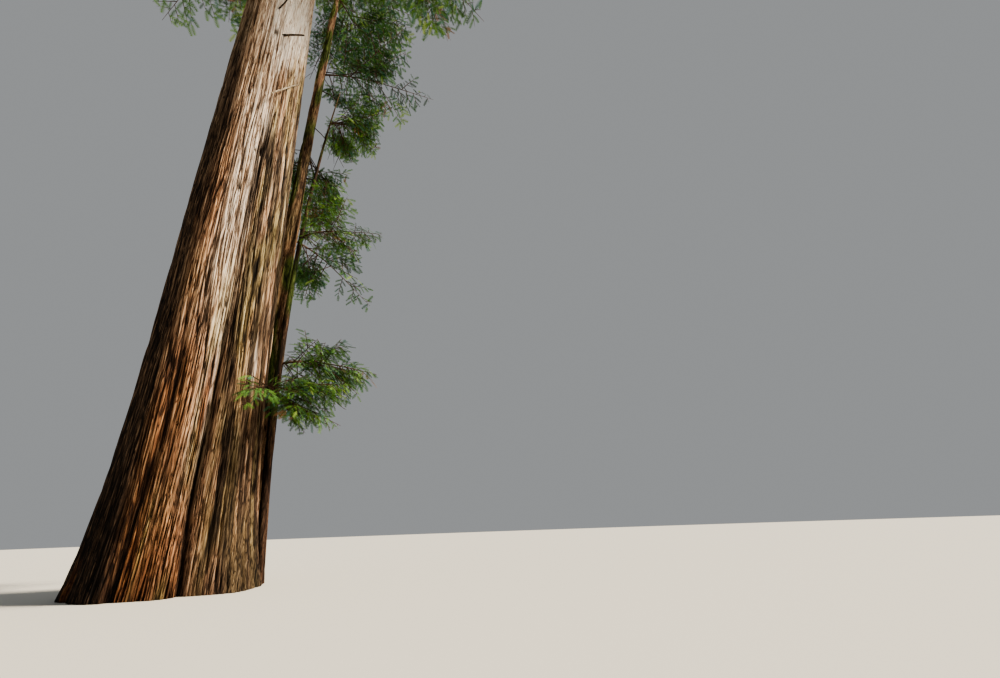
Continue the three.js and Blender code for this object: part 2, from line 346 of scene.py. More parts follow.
@dataclass(frozen=True)
class BarkFinish:
    """Fibrous redwood bark, with other tones where its mesh marks it as weathered, mossy, damp and bare, and
    where light and shade are painted on it.
    """

    name: str
    warm: Tones
    marked: tuple[tuple[Mark, Tones], ...]
    strand_width: float
    strand_length: float
    roughness: float
    relief: float
    specular: float = 0.25
    bump: float = 0.8
    ridge_share: float = 0.8
    fine_contrast: float = 1.5
    broad_contrast: float = 0.375
    broad_size: float = 5.0
    split_size: float = 2.2
    split_width: float = 0.055
    split_tone: float = 0.35

    def strands(self, tree: bpy.types.NodeTree, coarser: float, detail: float) -> bpy.types.NodeSocket:
        """Noise drawn out along the trunk, as its fibres run.

        Args:
            tree: The node tree.
            coarser: How many times the fibres' own size the strands are.
            detail: How many finer layers the noise has.

        Returns:
            The socket of the noise, from 0 to 1.
        """
        place = add_node(tree, "TexCoord").outputs["Object"]
        across, along = 1 / (self.strand_width * coarser), 1 / (self.strand_length * coarser)
        scaled = add_node(tree, "Mapping", {"Vector": place, "Scale": (across, across, along)})
        inputs = {"Vector": scaled.outputs[0], "Scale": 1.0, "Detail": detail, "Roughness": 0.62}
        return add_node(tree, "TexNoise", inputs).outputs[0]

    def tone(self, tree: bpy.types.NodeTree, fine: bpy.types.NodeSocket) -> bpy.types.NodeSocket:
        """How light the bark is: its ridges' height, with fine strands on it and dark splits between them.
        Furrows and splits are painted shade, and high ridges painted light.

        Args:
            tree: The node tree.
            fine: The socket of the fine strands.

        Returns:
            The socket of a tone from 0 to 1.
        """
        height = add_node(tree, "Attribute", attribute_name=Mark.CREST.value).outputs["Fac"]
        ridge = add_node(tree, "Math", {0: height, 1: self.ridge_share}, operation="MULTIPLY")
        broad = self.strands(tree, self.broad_size, 2.0)
        for strand, contrast in ((fine, self.fine_contrast), (broad, self.broad_contrast)):
            off = add_node(tree, "Math", {0: strand, 1: 0.5}, operation="SUBTRACT")
            inputs = {0: off.outputs[0], 1: contrast, 2: ridge.outputs[0]}
            ridge = add_node(tree, "Math", inputs, operation="MULTIPLY_ADD")
        split = self.strands(tree, self.split_size, 1.0)
        off = add_node(tree, "Math", {0: split, 1: 0.5}, operation="SUBTRACT")
        near = add_node(tree, "Math", {0: off.outputs[0]}, operation="ABSOLUTE")
        inputs = {0: near.outputs[0], 1: 0.0, 2: self.split_width, 3: self.split_tone, 4: 1.0}
        lines = add_node(tree, "MapRange", inputs, interpolation_type="SMOOTHSTEP")
        made = add_node(tree, "Math", {0: ridge.outputs[0], 1: lines.outputs[0]}, operation="MULTIPLY")
        return made.outputs[0]

    def make(self) -> bpy.types.Material:
        """The finish as a material."""
        material, tree = new_material(self.name)
        fine = self.strands(tree, 1.0, 3.0)
        tone = self.tone(tree, fine)
        colour = self.warm.ramp(tree, tone)
        for kind, tones in self.marked:
            share = add_node(tree, "Attribute", attribute_name=kind.value).outputs["Fac"]
            inputs = {0: share, 6: colour, 7: tones.ramp(tree, tone)}
            colour = add_node(tree, "Mix", inputs, data_type="RGBA").outputs[2]
        bump = add_node(tree, "Bump", {"Height": fine, "Distance": self.relief, "Strength": self.bump})
        inputs = {
            "Base Color": colour,
            "Roughness": self.roughness,
            "Specular IOR Level": self.specular,
            "Normal": bump.outputs[0],
        }
        shader = add_node(tree, "BsdfPrincipled", inputs)
        add_node(tree, "OutputMaterial", {"Surface": shader.outputs[0]})
        return material


@dataclass(frozen=True)
class PlainFinish:
    """One even colour, for a small thing that is dealt its colour whole."""

    name: str
    colour: int
    roughness: float
    specular: float = 0.4

    def make(self) -> bpy.types.Material:
        """The finish as a material."""
        material, tree = new_material(self.name)
        inputs = {
            "Base Color": linear(self.colour),
            "Roughness": self.roughness,
            "Specular IOR Level": self.specular,
        }
        shader = add_node(tree, "BsdfPrincipled", inputs)
        add_node(tree, "OutputMaterial", {"Surface": shader.outputs[0]})
        return material


@dataclass(frozen=True)
class NeedleFinish:
    """The plain colours of one kind of foliage, one for each tint."""

    name: str
    colours: tuple[int, ...]
    roughness: float = 0.6
    specular: float = 0.2

    def make(self) -> list[bpy.types.Material]:
        """The tints as materials, in their order."""
        return [
            PlainFinish(f"{self.name}_{tint.name.lower()}", colour, self.roughness, self.specular).make()
            for tint, colour in zip(Tint, self.colours, strict=True)
        ]


# Wet bark is nearly black, and these tones also paint shade where bark lies in shade; only the edges of its
# ridges still show.
DAMP_AND_SHADE_TONES = Tones(0x080605, 0x110C09, 0x1E1611, 0x413227, 0x7A6450)
# Redwood bark is soft, fibrous and matt. It is cinnamon where it is fresh and tan to grey where the sun
# has bleached it. Its near-black furrows are painted shade, and its grey and bare tones also paint light
# high up and on its lit front. A strand is drawn 14 mm wide so that it shows.
OLD_BARK = BarkFinish(
    name="old_redwood_bark",
    warm=Tones(0x150D08, 0x402717, 0x7C4B2C, 0xB47A4A, 0xDAA876),
    marked=(
        (Mark.PALE, Tones(0x261C16, 0x6F5847, 0xB6967D, 0xDDC3A8, 0xF5E6D4)),
        (Mark.LICHEN, Tones(0x1E1A11, 0x4E432C, 0x8A7850, 0xC2B080, 0xE6D8AC)),
        (Mark.MOSS, Tones(0x15180D, 0x2C3817, 0x4C6427, 0x6F8B3B, 0x93AC5A)),
        (Mark.BARE, Tones(0x4E4036, 0x9F8A79, 0xDDCBBB, 0xF8EFE6, 0xFFFDFA)),
        (Mark.DAMP, DAMP_AND_SHADE_TONES),
    ),
    strand_width=0.014,
    strand_length=0.3,
    roughness=0.93,
    relief=0.012,
)
# The younger stem's bark is thinner and flatter, tan where it has peeled, with moss on its damp side.
MOSSY_STEM_BARK = BarkFinish(
    name="mossy_redwood_bark",
    warm=Tones(0x1B140F, 0x43301F, 0x7C5E44, 0xB08E6A, 0xD3B48F),
    marked=(
        (Mark.PALE, Tones(0x2A1F1A, 0x6A4F40, 0xA07B62, 0xCBA888, 0xE3CBB0)),
        (Mark.LICHEN, Tones(0x1F1C14, 0x4C4431, 0x7D7252, 0xA99D74, 0xC9BF96)),
        (Mark.MOSS, Tones(0x14170B, 0x2A3516, 0x475827, 0x6A7D3A, 0x8F9F58)),
        (Mark.DAMP, DAMP_AND_SHADE_TONES),
    ),
    strand_width=0.01,
    strand_length=0.16,
    roughness=0.95,
    relief=0.006,
)
# A sprout's bark is red-brown and stringy, with a green film of moss on the side that the light reaches.
SPROUT_BARK = BarkFinish(
    name="young_redwood_bark",
    warm=Tones(0x1A110D, 0x3D261A, 0x6B4632, 0x93654A, 0xB98A68),
    marked=(
        (Mark.PALE, Tones(0x2A1F1A, 0x553E31, 0x83634E, 0xAC8A70, 0xCBAE93)),
        (Mark.LICHEN, Tones(0x1F1C14, 0x433C2A, 0x6D6342, 0x978B5C, 0xB7AC7C)),
        (Mark.MOSS, Tones(0x14190C, 0x2B3A17, 0x475D28, 0x66803A, 0x8AA359)),
        (Mark.DAMP, DAMP_AND_SHADE_TONES),
    ),
    strand_width=0.007,
    strand_length=0.12,
    roughness=0.92,
    relief=0.004,
)
# A dead limb has lost its bark: grey-brown wood, split along its grain.
WEATHERED_WOOD = BarkFinish(
    name="weathered_dead_wood",
    warm=Tones(0x2A221B, 0x5B4C3F, 0x93806D, 0xBBA992, 0xD8CBB6),
    marked=(
        (Mark.PALE, Tones(0x322A22, 0x6E6051, 0xA6957F, 0xD0C2AC, 0xEBE2D0)),
        (Mark.DAMP, DAMP_AND_SHADE_TONES),
    ),
    strand_width=0.006,
    strand_length=0.06,
    roughness=0.85,
    relief=0.003,
)
# Twigs of the last years: smooth, brown on the older ones and reddish on the young.
TWIG_BARK = PlainFinish("brown_twig_bark", 0x4E3A2B, 0.85, 0.3)
DEAD_TWIG = PlainFinish("dead_twig", 0x3B2E26, 0.9, 0.2)
# Redwood needles are flat and waxy, deep green above, and paler and yellower on the year's new tips.
NEEDLES = NeedleFinish("needles", (0x3A5729, 0x527835, 0x6C9241, 0x93AC54, 0x47735C, 0x84623D))
# The second stem's sprays take darker copies of the same tints, painted shade.
SHADE_NEEDLES = NeedleFinish("shade_needles", (0x263E1E, 0x375A29, 0x4F7838, 0x7D984E, 0x335C46, 0x6E5539))


# Meshes


def tube(sides: int, rings: int) -> bpy.types.Mesh:
    """A closed tube of radius 1 that stands from -0.5 to 0.5, with flat ends.

    Args:
        sides: How many sides it has.
        rings: How many bands of faces it has.

    Returns:
        The mesh, whose points are then moved.
    """
    bm = bmesh.new()
    bmesh.ops.create_cone(bm, cap_ends=True, segments=sides, radius1=1, radius2=1, depth=1)
    upright = [e for e in bm.edges if abs(e.verts[0].co.z - e.verts[1].co.z) > 0.5]
    bmesh.ops.subdivide_edges(bm, edges=upright, cuts=rings - 1, use_grid_fill=True)
    bm.normal_update()
    for face in bm.faces:
        is_end = abs(face.normal.z) > 0.5
        face.smooth = not is_end
        if is_end:
            for edge in face.edges:
                edge.smooth = False
    mesh = bpy.data.meshes.new("tube")
    bm.to_mesh(mesh)
    bm.free()
    return mesh


def points_of(mesh: bpy.types.Mesh) -> Array:
    """A mesh's points, one row each.

    Args:
        mesh: The mesh.

    Returns:
        The points.
    """
    points = np.empty(len(mesh.vertices) * 3)
    mesh.vertices.foreach_get("co", points)
    return points.reshape(-1, 3)


def stations(mesh: bpy.types.Mesh) -> tuple[Array, Array, Array]:
    """Where a tube's points stand: shares of a turn, shares of the height, and bearings in radians.

    Args:
        mesh: The tube, before its points are moved.

    Returns:
        The shares of a turn, the shares of the height and the bearings.
    """
    points = points_of(mesh)
    bearing = np.arctan2(points[:, 1], points[:, 0])
    return (bearing / (2 * np.pi)) % 1, points[:, 2] + 0.5, bearing


def dress(mesh: bpy.types.Mesh, points: Array, marks: Marks) -> None:
    """Moves a tube's points into place and marks them. A mark that isn't given is 0.

    Args:
        mesh: The tube.
        points: Its points' places, one row each.
        marks: The values of each mark, one for each point or one for all.
    """
    mesh.vertices.foreach_set("co", points.ravel())
    mesh.update()
    for each in Mark:
        values = np.clip(np.zeros(len(points)) + marks.get(each, 0.0), 0, 1)
        mesh.attributes.new(each.value, "FLOAT", "POINT").data.foreach_set("value", values)


def piece(
    mesh: bpy.types.Mesh, name: str, materials: Sequence[bpy.types.Material], nodes: Iterable[str]
) -> None:
    """Makes a mesh a piece of the tree.

    Args:
        mesh: The finished mesh, in place.
        name: The piece's name.
        materials: The mesh's materials.
        nodes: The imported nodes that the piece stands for.
    """
    mesh.name = name
    for material in materials:
        mesh.materials.append(material)
    made = bpy.data.objects.new(name, mesh)
    bpy.context.scene.collection.objects.link(made)
    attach(made, "root")
    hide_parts(*nodes)
    mesh.calc_loop_triangles()
    log.info("%s: %d triangles", name, len(mesh.loop_triangles))


def joined(meshes: Sequence[bpy.types.Mesh]) -> bpy.types.Mesh:
    """Joins meshes into one, with their marks.

    Args:
        meshes: The meshes, which are used up.

    Returns:
        The joined mesh.
    """
    bm = bmesh.new()
    for each in meshes:
        bm.from_mesh(each)
        bpy.data.meshes.remove(each)
    mesh = bpy.data.meshes.new("joined")
    bm.to_mesh(mesh)
    bm.free()
    return mesh


def triangle_mesh(points: Array, triangles: Array, kinds: Array) -> bpy.types.Mesh:
    """A mesh of many small joined things, from arrays.

    Args:
        points: The points, one row each.
        triangles: Three numbers of points for each triangle.
        kinds: The number of each triangle's material.

    Returns:
        The mesh.
    """
    mesh = bpy.data.meshes.new("joined")
    mesh.vertices.add(len(points))
    mesh.vertices.foreach_set("co", np.ascontiguousarray(points, np.float32).ravel())
    mesh.loops.add(len(triangles) * 3)
    mesh.loops.foreach_set("vertex_index", np.ascontiguousarray(triangles, np.int32).ravel())
    mesh.polygons.add(len(triangles))
    mesh.polygons.foreach_set("loop_start", np.arange(0, len(triangles) * 3, 3, dtype=np.int32))
    mesh.polygons.foreach_set("material_index", np.ascontiguousarray(kinds, np.int32))
    mesh.update(calc_edges=True)
    mesh.validate()
    return mesh


# Trunk


@dataclass(frozen=True)
class Seam:
    """A seam where old leaders fused: its bearing at the foot, how far it turns, its depth and width."""

    bearing: float
    turn: float
    depth: float
    width: float
    top: float


@dataclass(frozen=True)
class Scar:
    """A place on the bark: where it is, its half width and half height, and how deep, bare and dark it is."""

    bearing: float
    height: float
    half_width: float
    half_height: float
    depth: float
    bare: float
    dark: float

    def window(self, bearing: Array, z: Array, radius: Array, ragged: Array) -> Array:
        """How much of the scar each point has, from 0 to 1.

        Args:
            bearing: The points' bearings in radians.
            z: Their heights.
            radius: The trunk's radius there.
            ragged: Smooth noise that makes the scar's edge ragged.

        Returns:
            One share for each point.
        """
        across = np.radians(turned(np.degrees(bearing) - self.bearing)) * radius / self.half_width
        along = (z - self.height) / self.half_height
        return np.exp(-(((across**2 + along**2) * np.exp(0.7 * ragged)) ** 1.5))


@dataclass(frozen=True)
class Strip:
    """A strip of the trunk where narrow dark streaks of painted shade run between lighter ones, from low to
    high.
    """

    bearing: float
    half_width: float
    low: float
    high: float
    strength: float
    lighter: float
    soft_side: float = 0.3
    soft_end: float = 0.6

    def shade(self, degrees: Array, z: Array, streak: Array) -> Array:
        """How dark the strip makes each point.

        Args:
            degrees: The points' bearings.
            z: Their heights.
            streak: Smooth noise drawn out along the trunk.

        Returns:
            One share for each point.
        """
        side, end = self.soft_side, self.soft_end
        across = smooth(1 + side, 1 - side, np.abs(turned(degrees - self.bearing)) / self.half_width)
        along = smooth(self.low - end, self.low + end, z) * smooth(self.high + end, self.high - end, z)
        return across * along * smooth(self.lighter - side, self.lighter + side, streak) * self.strength


@dataclass(frozen=True)
class Area:
    """An area of bark: its bearing, where it ends and is full to either side, and its fades."""

    bearing: float
    ends: float
    full: float
    strength: float = 1.0
    fades: tuple[tuple[float, float], ...] = ()

    def share(self, degrees: Array, z: Array) -> Array:
        """How much of the area each point has, by its bearing and its height.

        Args:
            degrees: The points' bearings.
            z: Their heights.

        Returns:
            One share for each point.
        """
        total = smooth(self.ends, self.full, np.abs(turned(degrees - self.bearing))) * self.strength
        for none, full in self.fades:
            total = total * smooth(none, full, z)
        return total


@dataclass(frozen=True)
class Weathering:
    """Where the trunk's bark is warm, grey, lichened, damp, mossy and bare, and where light and shade are
    painted on it.
    """

    # The grey rises with height, partly by weathering and partly as painted light from above. The warm side
    # keeps the left darker as painted shade, and the grey side pales the right as painted light.
    weathered_and_lit_up: tuple[float, float] = (0.3, 4.5)
    shaded_warm_side: Area = Area(-130, 32, 12, 0.6, ((9.0, 5.0),))
    lit_grey_side: Area = Area(-34, 55, 38, 0.55)
    lichened_lobe: Area = Area(-54, 24, 12, 0.85, ((11.0, 5.0),))
    lobe_foot: tuple[float, float] = (0.4, 2.6)
    lichened_edge: Area = Area(-24, 16, 5, 0.75, ((9.3, 8.2),))
    pale_band: Area = Area(-87, 11, 4, 1.0, ((4.6, 3.2), (0.6, 1.8)))
    # Painted shade on the side under the lean (-X): near-black bark, wider at the foot.
    painted_shade_side: tuple[float, float, float] = (-176, 60, 32)
    painted_shade_side_fades: tuple[float, float] = (18, 4)
    painted_shade_side_at_foot: tuple[float, float] = (12, 1.6)
    # Darker towards the ground.
    damp_foot: tuple[float, float] = (0.6, 0.0)
    # Painted shade at the right of the foot.
    damp_right_foot: Area = Area(-22, 52, 24, 0.8, ((0.9, 0.25),))
    mossy_foot: tuple[float, float] = (2.5, 0.2)
    # The bare front high up is bare bark with painted light on it, and the bleached front lower down is a
    # painted highlight.
    bare_front: Area = Area(-62, 66, 26, 0.95)
    bare_from: tuple[float, float] = (7.9, 9.5)
    bare_to: tuple[float, float] = (12.5, 9.8)
    painted_highlight_front: Area = Area(-94, 24, 10, 0.55, ((2.4, 5.0), (8.2, 6.8)))
    lit_foot: tuple[float, float] = (0.4, 2.2)
    lit_top: tuple[float, float] = (8.7, 9.4)
    # Strips of narrow dark streaks, painted shade on the right lobe, at the foot and along the right edge.
    strips: tuple[Strip, ...] = (
        Strip(-61, 15, 1.4, 4.4, 0.9, -0.05),
        Strip(-68, 15, 4.2, 6.5, 0.9, 0.3),
        Strip(-68, 12, 0.2, 1.8, 0.95, -0.7),
        Strip(-45, 18, -2.0, 1.6, 0.85, -0.45),
        Strip(-36, 13, 1.6, 5.0, 0.85, 0.1),
        Strip(-44, 18, 4.4, 7.2, 0.85, -0.3),
        Strip(-5, 24, -2.0, 8.0, 0.9, -1.2),
    )

    def pale(self, degrees: Array, z: Array, patch: Array, flake: Array) -> Array:
        """How grey the bark is: more with height, by weathering and painted light, more on its right side as
        painted light, and less on its left as painted shade.
        """
        grey = smooth(*self.weathered_and_lit_up, z + 0.6 * patch) * 0.95 + 0.12 * flake
        return np.maximum(grey * (1 - self.shaded_warm_side.share(degrees, z)), self.lit_grey_side.share(degrees, z))

    def lichen(self, degrees: Array, z: Array, patch: Array, flake: Array) -> Array:
        """How much lichen there is: on the lobe and edge at the right, in a band and in patches.

        Args:
            degrees: The points' bearings.
            z: Their heights.
            patch: Broad smooth noise.
            flake: Fine smooth noise.

        Returns:
            One share for each point.
        """
        lobe = self.lichened_lobe.share(degrees, z) * mix(0.7, 1.0, smooth(*self.lobe_foot, z))
        band = self.pale_band.share(degrees, z) * 0.75
        patches = smooth(1.2, 2.2, patch) * 0.3
        total = np.maximum.reduce((lobe, self.lichened_edge.share(degrees, z), band, patches))
        return total * smooth(-1.4, 0.3, flake + patch * 0.4)

    def damp(self, degrees: Array, z: Array, flake: Array, streaks: Sequence[Array]) -> Array:
        """How damp the bark is, and where shade is painted on it: on the side under the lean, in the strips
        and seams, and at the right of the foot.

        Args:
            degrees: The points' bearings.
            z: Their heights.
            flake: Fine smooth noise.
            streaks: How much painted shade the strips and the seams give each point.

        Returns:
            One share for each point.
        """
        bearing, ends, full = self.painted_shade_side
        wider, fades = self.painted_shade_side_at_foot
        away = np.abs(turned(degrees - bearing)) - wider * np.exp(-z / fades)
        shaded = smooth(ends, full, away) * smooth(-3.4, -1.8, flake)
        shaded = shaded * mix(0.3, 1.0, smooth(*self.painted_shade_side_fades, z))
        foot = smooth(*self.damp_foot, z) * 0.5
        return np.maximum.reduce((shaded, *streaks, foot, self.damp_right_foot.share(degrees, z)))

    def bare(self, degrees: Array, z: Array, patch: Array, streak: Array) -> Array:
        """How bare the bark is, with painted light: bare bark lit all over the front high up, a painted
        highlight lower down, and a band below.

        Args:
            degrees: The points' bearings.
            z: Their heights.
            patch: Broad smooth noise.
            streak: Smooth noise drawn out along the trunk.

        Returns:
            One share for each point.
        """
        total = self.bare_front.share(degrees, z) * smooth(*self.bare_to, z + 0.7 * patch)
        total = total * smooth(*self.bare_from, z + 0.45 * streak + 0.4 * patch)
        band = self.pale_band.share(degrees, z) * 0.4
        highlight_and_band = np.maximum(self.painted_highlight_front.share(degrees, z), band)
        return np.maximum(total, highlight_and_band * smooth(-1.6, 0.4, streak))


@dataclass
class Trunk:
    """The old trunk: taper, lean, root flare, fused leaders and deep interlaced bark."""

    height: float = 40.0
    foot_radius: float = 0.745
    taper: float = 1.05
    tip_radius: float = 0.012
    flare: float = 0.16
    flare_height: float = 1.0
    lean: float = 0.62
    lean_height: float = 20.0
    seams: tuple[Seam, ...] = (
        Seam(-80, 0, 0.17, 13, 8.5),
        Seam(62, -9, 0.14, 15, 10.0),
        Seam(128, 12, 0.09, 12, 6.5),
        Seam(196, 8, 0.1, 14, 5.0),
        Seam(238, 10, 0.05, 12, 4.0),
    )
    seam_turn_height: float = 5.5
    lobes: tuple[tuple[int, float, float], ...] = ((2, 0.02, 0.6), (3, 0.014, 2.1), (9, 0.01, 1.3))
    foot_lobes: float = 1.6
    scars: tuple[Scar, ...] = (
        Scar(-76.5, 6.66, 0.038, 0.42, 0.006, 1.0, 0.0),
        Scar(-78.0, 6.16, 0.03, 0.09, 0.05, 0.0, 1.0),
        Scar(-68.0, 9.3, 0.075, 0.3, 0.004, 1.0, 0.0),
        Scar(-72.0, 8.6, 0.02, 0.3, 0.02, 0.3, 0.3),
        Scar(-47.0, 2.72, 0.06, 0.3, 0.008, 0.65, 0.0),
        Scar(-95.8, 5.31, 0.03, 0.07, 0.04, 0.0, 0.9),
        Scar(-104.0, 6.9, 0.03, 0.09, 0.03, 0.0, 0.7),
        Scar(-90.0, 8.83, 0.035, 0.06, 0.03, 0.0, 0.9),
        Scar(95.0, 3.4, 0.05, 0.4, 0.03, 0.6, 0.2),
        Scar(150.0, 7.2, 0.05, 0.5, 0.02, 0.8, 0.0),
    )
    weathering: Weathering = Weathering()
    knot_count: int = 46
    knot_top: float = 15.0
    fissure: float = 0.6
    fissure_fades: tuple[float, float] = (5.5, 2.5)
    fissure_width: float = 2.6
    damp_width: float = 4.5
    seam_stray: float = 1.6
    finer_foot: tuple[float, float] = (3.4, 0.8)
    plate_shares: tuple[float, float] = (0.65, 0.2)
    ridge_depth: float = 0.062
    ridge_stands_out: float = 0.014
    sides: int = 760
    top_crowding: float = 1.5
    bands: tuple[tuple[float, float, int], ...] = ((0.0, 4.0, 123), (4.0, 11.0, 123), (11.0, 40.0, 84))
    grains: dict[str, Grain] = field(init=False)

    def __post_init__(self) -> None:
        """Draws the noise that the bark is made of, and its small knots."""
        rng = np.random.default_rng(21)
        self.scars += tuple(
            Scar(
                bearing=rng.uniform(-180, 180),
                height=self.knot_top * rng.uniform() ** 1.2,
                half_width=rng.uniform(0.012, 0.026),
                half_height=rng.uniform(0.025, 0.07),
                depth=rng.uniform(0.03, 0.055),
                bare=0.0,
                dark=rng.uniform(0.7, 1.0),
            )
            for _ in range(self.knot_count)
        )
        self.grains = {
            "wander": Grain(14, 1.8, 11),
            "plates": Grain(110, 1.2, 12),
            "ridges": Grain(360, 0.6, 13),
            "foot_ridges": Grain(560, 0.7, 18),
            "strands": Grain(600, 0.3, 14),
            "patches": Grain(10, 1.1, 15),
            "flakes": Grain(64, 0.6, 16),
            "streaks": Grain(150, 0.8, 17),
        }

    def radius(self, z: Array) -> Array:
        """The trunk's mean radius at a height.

        Args:
            z: One height or many.

        Returns:
            A radius for each.
        """
        z = np.asarray(z, float)
        taper = self.foot_radius * np.maximum(0, 1 - z / self.height) ** self.taper
        return np.maximum(self.tip_radius, taper + self.flare * np.exp(-z / self.flare_height))

    def middle(self, z: Array) -> Array:
        """The middle of the trunk at a height.

        Args:
            z: One height or many.

        Returns:
            A point for each.
        """
        z = np.asarray(z, float)
        lean = -self.lean * (1 - np.exp(-z / self.lean_height))
        return np.stack((lean, np.zeros_like(z), z), -1)

    def section(self, bearing: Array, z: Array) -> Array:
        """How far the trunk stands out, as a share of its mean radius.

        Args:
            bearing: Bearings in radians.
            z: Heights.

        Returns:
            One share for each point.
        """
        at_foot = np.exp(-z / self.flare_height)
        total = np.ones_like(z)
        for count, share, phase in self.lobes:
            total += share * (1 + self.foot_lobes * at_foot) * np.cos(count * bearing + phase)
        for seam in self.seams:
            total -= seam.depth * self.near_seam(seam, bearing, z, seam.width, 0.0)
        return total

    def near_seam(self, seam: Seam, bearing: Array, z: Array, width: float, stray: float) -> Array:
        """How near each point is to a seam, fading towards the seam's top.

        Args:
            seam: The seam.
            bearing: Bearings in radians.
            z: Heights.
            width: How wide it counts as near, in degrees.
            stray: How far the line strays to either side, in degrees.

        Returns:
            One share for each point.
        """
        middle = seam.bearing + seam.turn * np.minimum(1, z / self.seam_turn_height)
        if stray:
            middle = middle + stray * self.grains["wander"](np.full_like(z, seam.bearing / 360 % 1), 2.5 * z)
        away = turned(np.degrees(bearing) - middle) / width
        return np.sqrt(np.maximum(0, 1 - z / seam.top)) * np.exp(-away * away)

    def ridges(self, turn: Array, z: Array) -> Array:
        """How high the bark's ridges stand, from 0 in a furrow to 1.

        Args:
            turn: Shares of a turn.
            z: Heights.

        Returns:
            One share for each point.
        """
        wander = turn + 0.006 * self.grains["wander"](turn, z)
        foot = smooth(*self.finer_foot, z)
        plates = crest(self.grains["plates"](wander, z), 0.3)
        plate_share = mix(*self.plate_shares, foot)
        lines = mix(self.grains["ridges"](wander, z), self.grains["foot_ridges"](wander, z), foot)
        ridges = crest(lines, 0.4)
        strands = crest(self.grains["strands"](turn, z), 0.5)
        return (1 - plate_share + plate_share * plates) * (0.7 * ridges + 0.3 * strands)

    def surface(self, turn: Array, bearing: Array, z: Array) -> tuple[Array, Array]:
        """The bark's surface.

        Args:
            turn: Shares of a turn.
            bearing: The same as bearings in radians.
            z: Heights.

        Returns:
            The points, and the height of the ridges at each.
        """
        radius = self.radius(z)
        height = self.ridges(turn, z)
        depth = self.ridge_depth * (radius / self.foot_radius) ** 0.9
        bark = depth * (height - 1) + self.ridge_stands_out * radius / self.foot_radius
        for seam in self.seams:
            fissure = self.fissure * seam.depth * mix(0.3, 1.0, smooth(*self.fissure_fades, z))
            near = self.near_seam(seam, bearing, z, self.fissure_width, self.seam_stray)
            bark = bark - fissure * radius * near
        ragged = self.grains["ridges"](turn, z)
        for scar in self.scars:
            share = scar.window(bearing, z, radius, ragged)
            bark = mix(bark, 0.45 * bark - scar.depth, share)
        out = radius * self.section(bearing, z) + bark
        around = np.stack((np.cos(bearing), np.sin(bearing), np.zeros_like(z)), -1)
        return self.middle(z) + around * out[:, None], height

    def marks(self, turn: Array, bearing: Array, z: Array, height: Array) -> Marks:
        """The bark's weathering, lichen, damp and bare places, and the light and shade painted on it.

        Args:
            turn: Shares of a turn.
            bearing: The same as bearings in radians.
            z: Heights.
            height: The height of the ridges there.

        Returns:
            The values of each mark.
        """
        look, degrees, radius = self.weathering, np.degrees(bearing), self.radius(z)
        patch = self.grains["patches"](turn, z)
        flake = self.grains["flakes"](turn, z)
        streak = self.grains["streaks"](turn + 0.004 * self.grains["wander"](turn, z), z)
        ragged_z = z + 0.45 * flake + 0.3 * patch
        # The strips' streaks and the dark lines along the seams are painted shade.
        streaks = [strip.shade(degrees, ragged_z, streak) for strip in look.strips]
        fades = mix(0.3, 1.0, smooth(*self.fissure_fades, z))
        for seam in self.seams:
            streaks.append(self.near_seam(seam, bearing, z, self.damp_width, self.seam_stray) * fades)
        damp = look.damp(degrees, z, flake, streaks)
        bare = look.bare(degrees, z, patch, streak)
        ragged = self.grains["ridges"](turn, z)
        # A scar's dark tones are painted shade in its hole.
        for scar in self.scars:
            share = scar.window(bearing, z, radius, ragged)
            bare = np.maximum(bare, share * scar.bare)
            damp = np.maximum(damp, share * scar.dark)
        lit = smooth(0.08, 0.82, height) * mix(0.8, 1.0, smooth(*look.lit_foot, z))
        return {
            Mark.CREST: lit + mix(0.4, 0.75, smooth(*look.lit_top, z)) * bare,
            Mark.PALE: look.pale(degrees, z, patch, flake),
            Mark.LICHEN: look.lichen(degrees, z, patch, flake),
            Mark.DAMP: damp,
            Mark.MOSS: smooth(1.2, 2.2, flake) * smooth(*look.mossy_foot, z) * 0.5,
            Mark.BARE: bare,
        }

    def build(self, finish: bpy.types.Material) -> None:
        """Builds the trunk's bark in bands, from the flat cut to the tip.

        Args:
            finish: The bark's material.
        """
        for number, (low, high, rings) in enumerate(self.bands, 1):
            mesh = tube(self.sides, rings)
            turn, share, bearing = stations(mesh)
            crowding = self.top_crowding if high == self.height else 1.0
            z = mix(low, high, share**crowding)
            points, height = self.surface(turn, bearing, z)
            dress(mesh, points, self.marks(turn, bearing, z, height))
            piece(mesh, f"trunk_bark_{number}", [finish], ["trunk"])


# Limbs


def beside(along: Array) -> tuple[Array, Array]:
    """Two directions at right angles to each direction and to each other.

    Args:
        along: The directions.

    Returns:
        The two directions across each of them.
    """
    guide = np.where(np.abs(along[..., 2:]) > 0.9, level(0), UP)
    side = unit(np.cross(guide, along))
    return side, np.cross(along, side)


